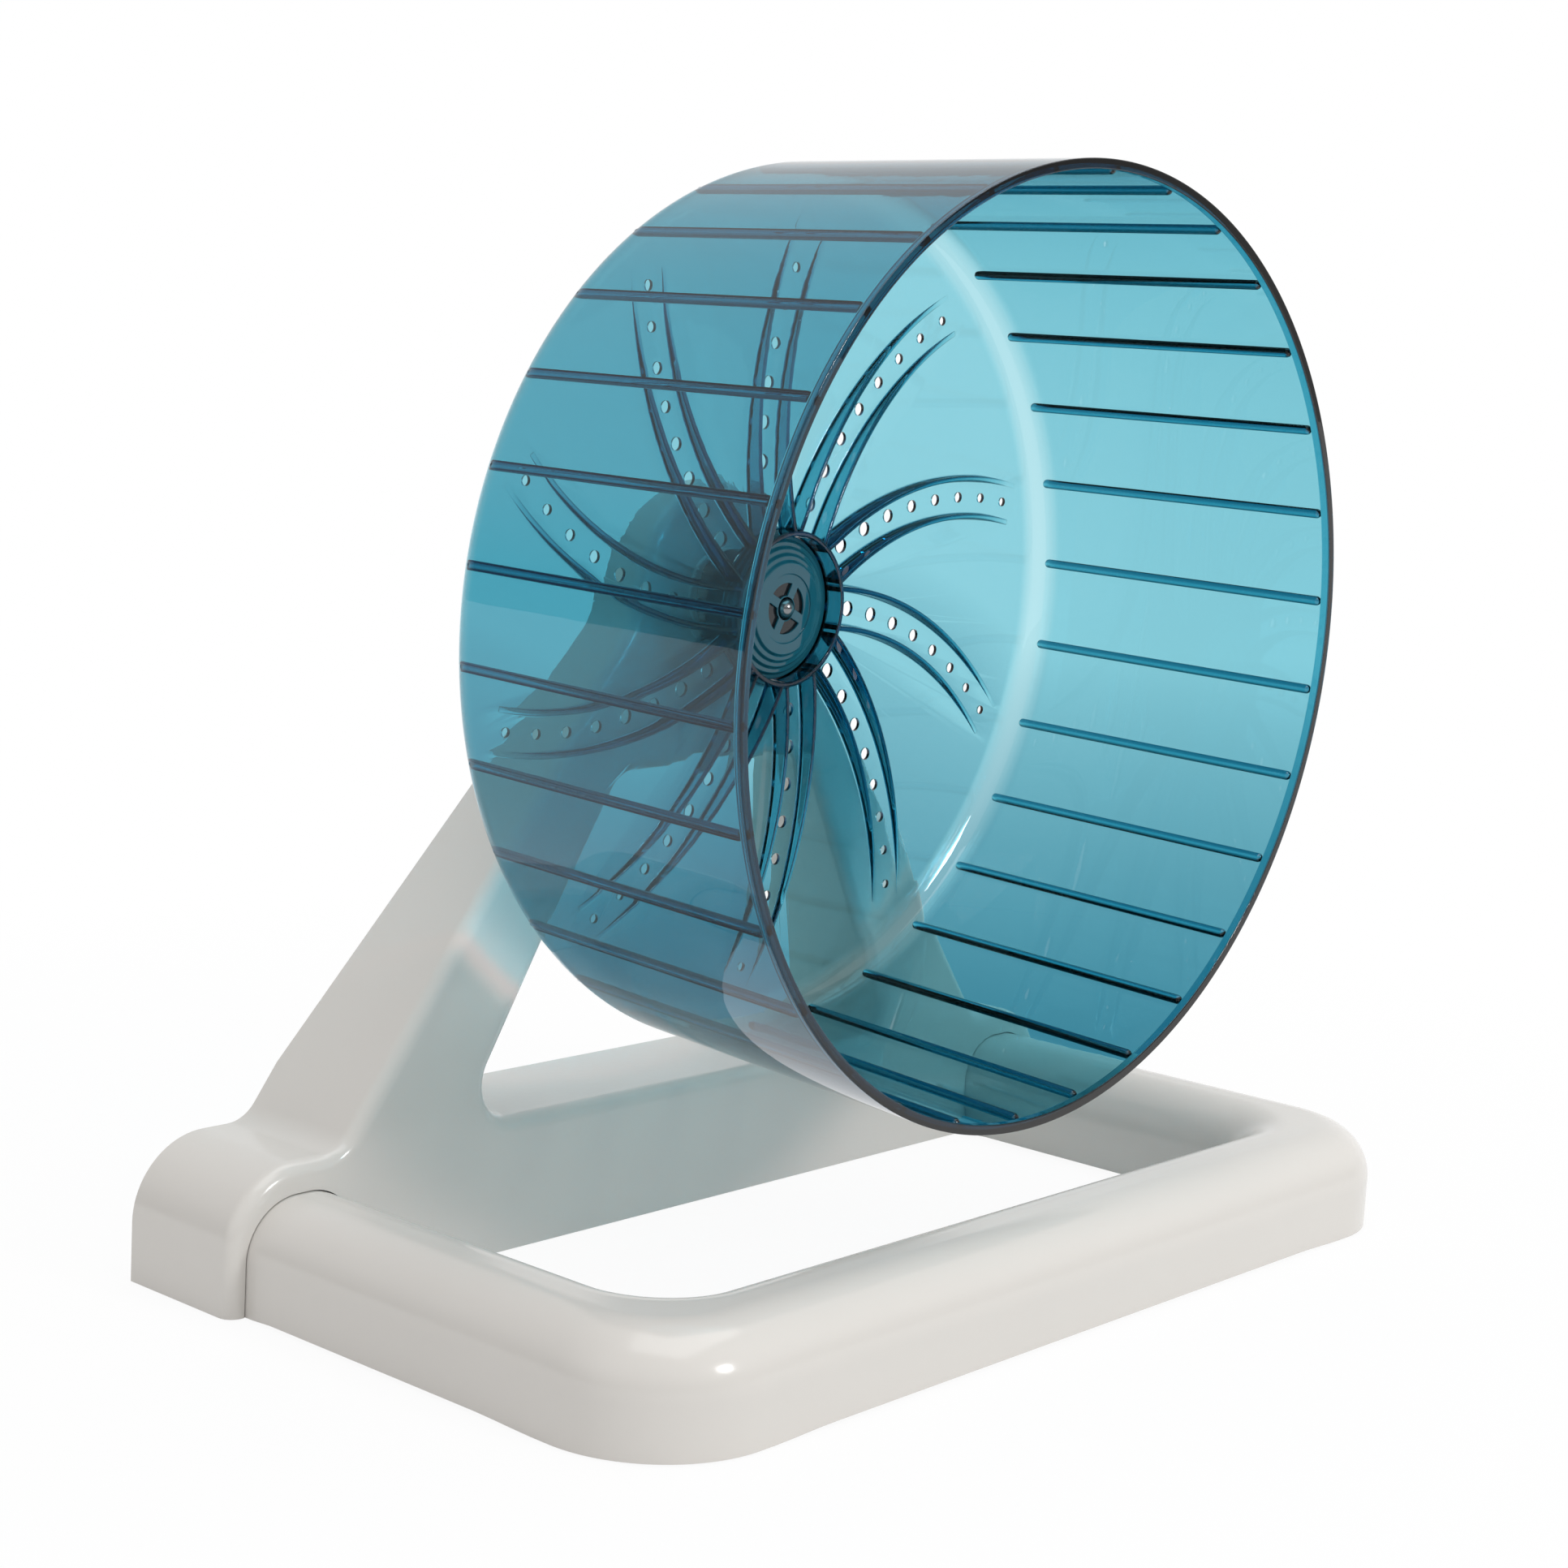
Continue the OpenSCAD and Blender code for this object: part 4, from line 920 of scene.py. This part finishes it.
# %% Vent holes along the spokes
vent_count, vent_pitch, vent_first, vent_hub, vent_tip = 8, 12.15, 7.1, 5.0, 3.0
circle = np.linspace(0, 2 * np.pi, 28, endpoint=False)[None, :]
vent_past = 1.0
vent_w = np.array([wall_w - vent_past, drum_depth + vent_past])[:, None]
vent_skin = Skin()
for i in range(spoke_count):
    for k in range(vent_count):
        a = math.radians(180 + vent_first) + k * vent_pitch / spoke_bend
        r = (vent_hub + (vent_tip - vent_hub) * k / (vent_count - 1)) / 2
        x = spoke_bend * (1 + math.cos(a)) + r * np.cos(circle)
        y = -spoke_start + spoke_bend * math.sin(a) + r * np.sin(circle)
        points = on_axle(*rotated(x, y, drum_turn + (i + 0.5) * 360 / spoke_count), vent_w)
        vent_skin.grid(points, wrap_cols=True)
        vent_skin.face(points[0])
        vent_skin.face(points[-1])
vent_mesh = vent_skin.mesh("vents")
print("vents:", spoke_count * vent_count)


# %% Join the drum into one clear solid
def joined(base, tool, operation):
    """The mesh base joined with, or cut by, the mesh tool as solids."""
    objects = [bpy.data.objects.new(m.name, m) for m in (base, tool)]
    for obj in objects:
        scene.collection.objects.link(obj)
    step = objects[0].modifiers.new("solid", "BOOLEAN")
    step.operation, step.solver, step.object = operation, "MANIFOLD", objects[1]
    result = bpy.data.meshes.new_from_object(objects[0].evaluated_get(bpy.context.evaluated_depsgraph_get()))
    for obj in objects:
        bpy.data.objects.remove(obj)
    return result


for tool in (*ridge_meshes, rib_mesh):
    drum_mesh = joined(drum_mesh, tool, "UNION")
drum_mesh = smoothed(joined(drum_mesh, vent_mesh, "DIFFERENCE"))
piece("drum", drum_mesh, "wheel", drum_plastic, ["wheel_drum"])

# %% [markdown]
# ## Hub cover and axle nose
#
# The hub cover is a shallow stepped cone inside the hub ring. Its middle is flat, with a shallow ring and
# four sunk pockets between two crossing arms, and the axle's domed nose looks out of its centre. The front
# is a height worked out over a polar grid, because the pockets are neither turned nor flat-sided.

# %% Front of the hub cover
cover_r, face_r, shallow_r, nose_r = hub_bore_r - cover_gap, 14.3, 11.1, 3.3
nose_hole, collar_width, arm_w, arm_turn = nose_r + 0.4, 0.3, 2.9, 25.0
step_count, step_steepness = 4, 2.2
shallow_edge, pocket_edge, pocket_depth = 0.25, 0.2, 0.9


def cover_height(r, t):
    """How far the cover's front stands back from its flat middle, at a radius r and an angle t. It is a sum
    of smoothsteps: round steps outside, a shallow ring inside the flat middle, and pockets where the
    distance to the crossing arms, r * min(|sin t|, |cos t|), is more than half an arm's width."""
    steps = np.clip((r - face_r) / (cover_r - face_r), 0, 1) * step_count
    whole = np.floor(np.minimum(steps, step_count - 0.001))
    fall = cover_rise / step_count * (whole + smoothstep((steps - whole) * step_steepness))
    shallow = shallow_depth * smoothstep((shallow_r - r) / shallow_edge)
    turned = t - math.radians(arm_turn + drum_turn)
    to_arm = r * np.minimum(np.abs(np.sin(turned)), np.abs(np.cos(turned)))
    inside = smoothstep((dish_r - r) / pocket_edge) * smoothstep((r - nose_hole - collar_width) / pocket_edge)
    pocket = pocket_depth * inside * smoothstep((to_arm - arm_w / 2) / pocket_edge)
    return fall + shallow + pocket


cover_soft, cover_turns = 0.3, 480
stretches = (
    (nose_hole, nose_hole + 1.2, 8), (5.1, 7.7, 8), (dish_r - 0.3, dish_r + 0.2, 6), (8.6, 10.7, 4),
    (shallow_r - 0.3, shallow_r + 0.1, 5), (11.5, 14.2, 4), (face_r, cover_r - cover_soft, 61),
)
r = np.concatenate([np.linspace(*stretch) for stretch in stretches])[None, :]
t = np.linspace(0, 2 * np.pi, cover_turns, endpoint=False)[:, None]
front = on_axle(r * np.sin(t), -r * np.cos(t), cover_top_w + cover_height(r, t))
print("hub cover's front:", front.shape[0], "by", front.shape[1], "points")

# %% Hub cover
middle_t, inner_step = 2.3, 1.0
rear_profile = np.concatenate([
    arc([cover_r - cover_soft, cover_rim_w + cover_soft], cover_soft, -90, 0, 4)[1:],
    [[cover_r, cover_rim_w + cover_t], [cover_r - cover_t, cover_rim_w + cover_t],
     [face_r - inner_step, cover_top_w + middle_t], [nose_hole, cover_top_w + middle_t]],
])
rear = spun(rear_profile, cover_turns, on_axle)
cover_skin = Skin()
cover_skin.grid(np.concatenate([front, rear], 1), wrap_rows=True, wrap_cols=True)
cover_mesh = cover_skin.mesh("hub_cover_dressed")
piece("hub_cover_dressed", cover_mesh, "wheel", hub_plastic, ["hub_cover"])

# %% Axle with its domed nose
axle_r, shoulder_r, flange_r, flange_t = 3.98, 6.03, 10.0, 1.6
nose_out, collar_t, flange_soft, end_chamfer = 1.8, 0.6, 0.3, 0.8
collar_w, shoulder_w = clip_w - collar_t, rear_bearing_w + bearing_width
flange_w, axle_end = rim_reach - 2.4, rim_reach + 14.0
flange_back, dome_w = flange_w + flange_t, cover_top_w - nose_out
dome = np.radians(np.linspace(0, 90, 16))
axle_profile = np.concatenate([
    np.stack([nose_r * np.sin(dome), dome_w + nose_r * (1 - np.cos(dome))], 1),
    [[nose_r, collar_w], [axle_r, collar_w], [axle_r, clip_w], [nose_r, clip_w], [nose_r, front_bearing_w],
     [axle_r, front_bearing_w], [axle_r, shoulder_w], [shoulder_r, shoulder_w], [shoulder_r, flange_w],
     [flange_r - flange_soft, flange_w], [flange_r, flange_w + flange_soft], [flange_r, flange_back],
     [axle_r, flange_back], [axle_r, axle_end - end_chamfer], [axle_r - end_chamfer, axle_end],
     [0.0, axle_end]],
])
axle_skin = Skin()
axle_skin.grid(spun(axle_profile, 96, on_axle), wrap_rows=True)
piece("axle_pin", axle_skin.mesh("axle_pin"), "stand", bright_steel, ["axle"])

# %% [markdown]
# ## Pieces that stay as the CAD made them
#
# The bearings, clips, screws and rubber feet already have their real shapes. Each of them gets the finish
# of its record slot.

# %% Finishes for the CAD nodes
finishes = {
    "stand_plastic": stand_plastic, "bright_steel": bright_steel, "zinc_steel": zinc_steel,
    "spring_steel": spring_steel, "cage_nylon": cage_nylon, "pad_rubber": pad_rubber,
    "drum_plastic": drum_plastic, "hub_plastic": hub_plastic,
}
for part in frame["record"]["subparts"]:
    node = frame["nodes"][part["node"]]
    node.data.materials.clear()
    node.data.materials.append(finishes[part["material_slot"]])

# %% [markdown]
# ## Floor, backdrop and light
#
# The photograph has a plain white studio. The floor shows white to the camera and to mirrors, and keeps a
# little of the object's shadow. Through the drum the floor and the backdrop are a little past white, for
# the surface tint that the part on clear plastic tells of, and near the stand the floor seen through the
# drum carries a painted teal shadow of the drum. The object's own light stays plain, because all this hangs
# on what kind of ray asks.
#
# A studio is darker beside the object than before its backdrop. Mirrored rays see that, and it gives the
# glossy plastic its shading. Light that comes through the drum is weaker, so the stand is in shade behind
# it. One large soft lamp hangs overhead and a faint broad one stands at the left. A small one in front, at
# the right, makes the highlight on the base's corner.

# %% Tools for the studio's nodes
def ranged(tree, value, start, end, low, high):
    """The output of a node that maps start..end to low..high, and stays at the ends outside."""
    node = tree.nodes.new("ShaderNodeMapRange")
    for key, number in (("From Min", start), ("From Max", end), ("To Min", low), ("To Max", high)):
        node.inputs[key].default_value = number
    tree.links.new(value, node.inputs["Value"])
    return node.outputs[0]


def chosen(tree, share, first, second):
    """The output of a node that blends two values, each a number or another output, by a share."""
    node = tree.nodes.new("ShaderNodeMix")
    tree.links.new(share, node.inputs[0])
    for place, value in ((2, first), (3, second)):
        if isinstance(value, (int, float)):
            node.inputs[place].default_value = value
        else:
            tree.links.new(value, node.inputs[place])
    return node.outputs[0]


def seen_through(tree, path):
    """1 for a ray that the camera sees through clear plastic, and 0 for one that only brings light: the
    transmission ray's share where the diffuse depth is still 0."""
    first = ranged(tree, path.outputs["Diffuse Depth"], 0, 1, 1, 0)
    return chosen(tree, first, 0.0, path.outputs["Is Transmission Ray"])


# %% Finish of the floor
past_white = 1.17
# The teal colour near the stand is a painted shadow of the drum on the floor, seen only through the drum, fading
# to white with distance.
paper_grey, painted_drum_shadow, plain_white = (0.85, 0.85, 0.85, 1), (0.0, 0.25, 0.35, 1), (1, 1, 1, 1)
tint_near, tint_far = 0.3, 1.5
shadow_near, shadow_far, shadow_white, through_white = 0.2, 0.6, 0.93, 0.95


def studio_floor():
    """A pale floor. Camera and mirror rays see white, with a share of the lit paper that falls with the
    distance from the stand. A ray through the drum sees white with a painted teal shadow of the drum near
    the stand, which grows paler with sqrt(distance). All other rays meet the lit paper."""
    material = bpy.data.materials.new("studio_floor")
    material.use_nodes = True
    tree = material.node_tree
    links = tree.links
    tree.nodes.clear()
    output, paper, white, seen, tint = new_nodes(
        tree, "OutputMaterial", "BsdfDiffuse", "Emission", "MixShader", "Mix")
    path, place, distance, root = new_nodes(tree, "LightPath", "TexCoord", "VectorMath", "Math")
    paper.inputs["Color"].default_value = paper_grey
    distance.operation, root.operation, tint.data_type = "LENGTH", "SQRT", "RGBA"
    tint.inputs[6].default_value, tint.inputs[7].default_value = painted_drum_shadow, plain_white
    links.new(place.outputs["Object"], distance.inputs[0])
    links.new(distance.outputs["Value"], root.inputs[0])
    through = seen_through(tree, path)
    paler = ranged(tree, root.outputs[0], tint_near, tint_far, 0.0, 1.0)
    links.new(chosen(tree, through, 1.0, paler), tint.inputs[0])
    links.new(tint.outputs[2], white.inputs["Color"])
    links.new(chosen(tree, through, 1.0, past_white), white.inputs["Strength"])
    share = chosen(tree, through, 0.0, through_white)
    for kind in ("Is Glossy Ray", "Is Camera Ray"):
        whiter = ranged(tree, distance.outputs["Value"], shadow_near, shadow_far, shadow_white, 1.0)
        share = chosen(tree, path.outputs[kind], share, whiter)
    links.new(share, seen.inputs["Fac"])
    links.new(paper.outputs[0], seen.inputs[1])
    links.new(white.outputs[0], seen.inputs[2])
    links.new(seen.outputs[0], output.inputs["Surface"])
    return material


# %% Floor
floor_half = 6.0
floor_corners = [(x * floor_half, y * floor_half, 0) for x, y in ((-1, -1), (1, -1), (1, 1), (-1, 1))]
floor_mesh = bpy.data.meshes.new("floor")
floor_mesh.from_pydata(floor_corners, [], [(0, 1, 2, 3)])
floor_mesh.materials.append(studio_floor())
floor = bpy.data.objects.new("floor", floor_mesh)
scene.collection.objects.link(floor)
print("floor", 2 * floor_half, "m wide")

# %% World
world_level, shaded_level, side_level, mirrored_top, clear_top = 0.56, 0.25, 0.22, 0.8, 0.3
backdrop_way, beside, before = (0.75, 0.66, 0.0), 0.1, 0.75
low_z, high_z = 0.1, 0.4
world = bpy.data.worlds.new("studio")
world.use_nodes = True
scene.world = world
tree = world.node_tree
sky = tree.nodes["Background"]
path, place, facing, up = new_nodes(tree, "LightPath", "TexCoord", "VectorMath", "SeparateXYZ")
facing.operation = "DOT_PRODUCT"
facing.inputs[1].default_value = backdrop_way
tree.links.new(place.outputs["Generated"], facing.inputs[0])
tree.links.new(place.outputs["Generated"], up.inputs[0])
height = ranged(tree, up.outputs["Z"], low_z, high_z, 0.0, 1.0)
through = chosen(tree, height, past_white, clear_top * past_white)
around_level = ranged(tree, facing.outputs["Value"], beside, before, side_level, 1.0)
mirrored = chosen(tree, height, around_level, mirrored_top)
level = world_level
for kind, value in (("Transmission", shaded_level), ("Glossy", mirrored), ("Camera", 1.0)):
    level = chosen(tree, path.outputs[f"Is {kind} Ray"], level, value)
level = chosen(tree, seen_through(tree, path), level, through)
tree.links.new(level, sky.inputs["Strength"])
sky.inputs["Color"].default_value = plain_white
print("world light level:", world_level)


# %% Studio lamps
def softbox(name, place, target, size, power):
    """A rectangular soft lamp at a place, facing a target, with its size in metres and its power in watts."""
    lamp = bpy.data.lights.new(name, "AREA")
    lamp.shape, lamp.size, lamp.size_y, lamp.energy = "RECTANGLE", size[0], size[1], power
    obj = bpy.data.objects.new(name, lamp)
    obj.location = place
    obj.rotation_euler = (Vector(target) - Vector(place)).to_track_quat("-Z", "Y").to_euler()
    scene.collection.objects.link(obj)


middle = (0, 0, 0.15)
softbox("overhead", (0.1, -0.2, 1.5), middle, (1.8, 1.1), 12.0)
softbox("left", (-1.6, -0.2, 0.8), middle, (0.9, 1.2), 0.9)
softbox("right", (0.27, -1.72, 0.9), middle, (0.3, 0.3), 10.0)

# %% [markdown]
# ## Finish
#
# The colours are shown as they are, without a film look.

# %% Colours as they are, and the end
scene.view_settings.view_transform = "Standard"
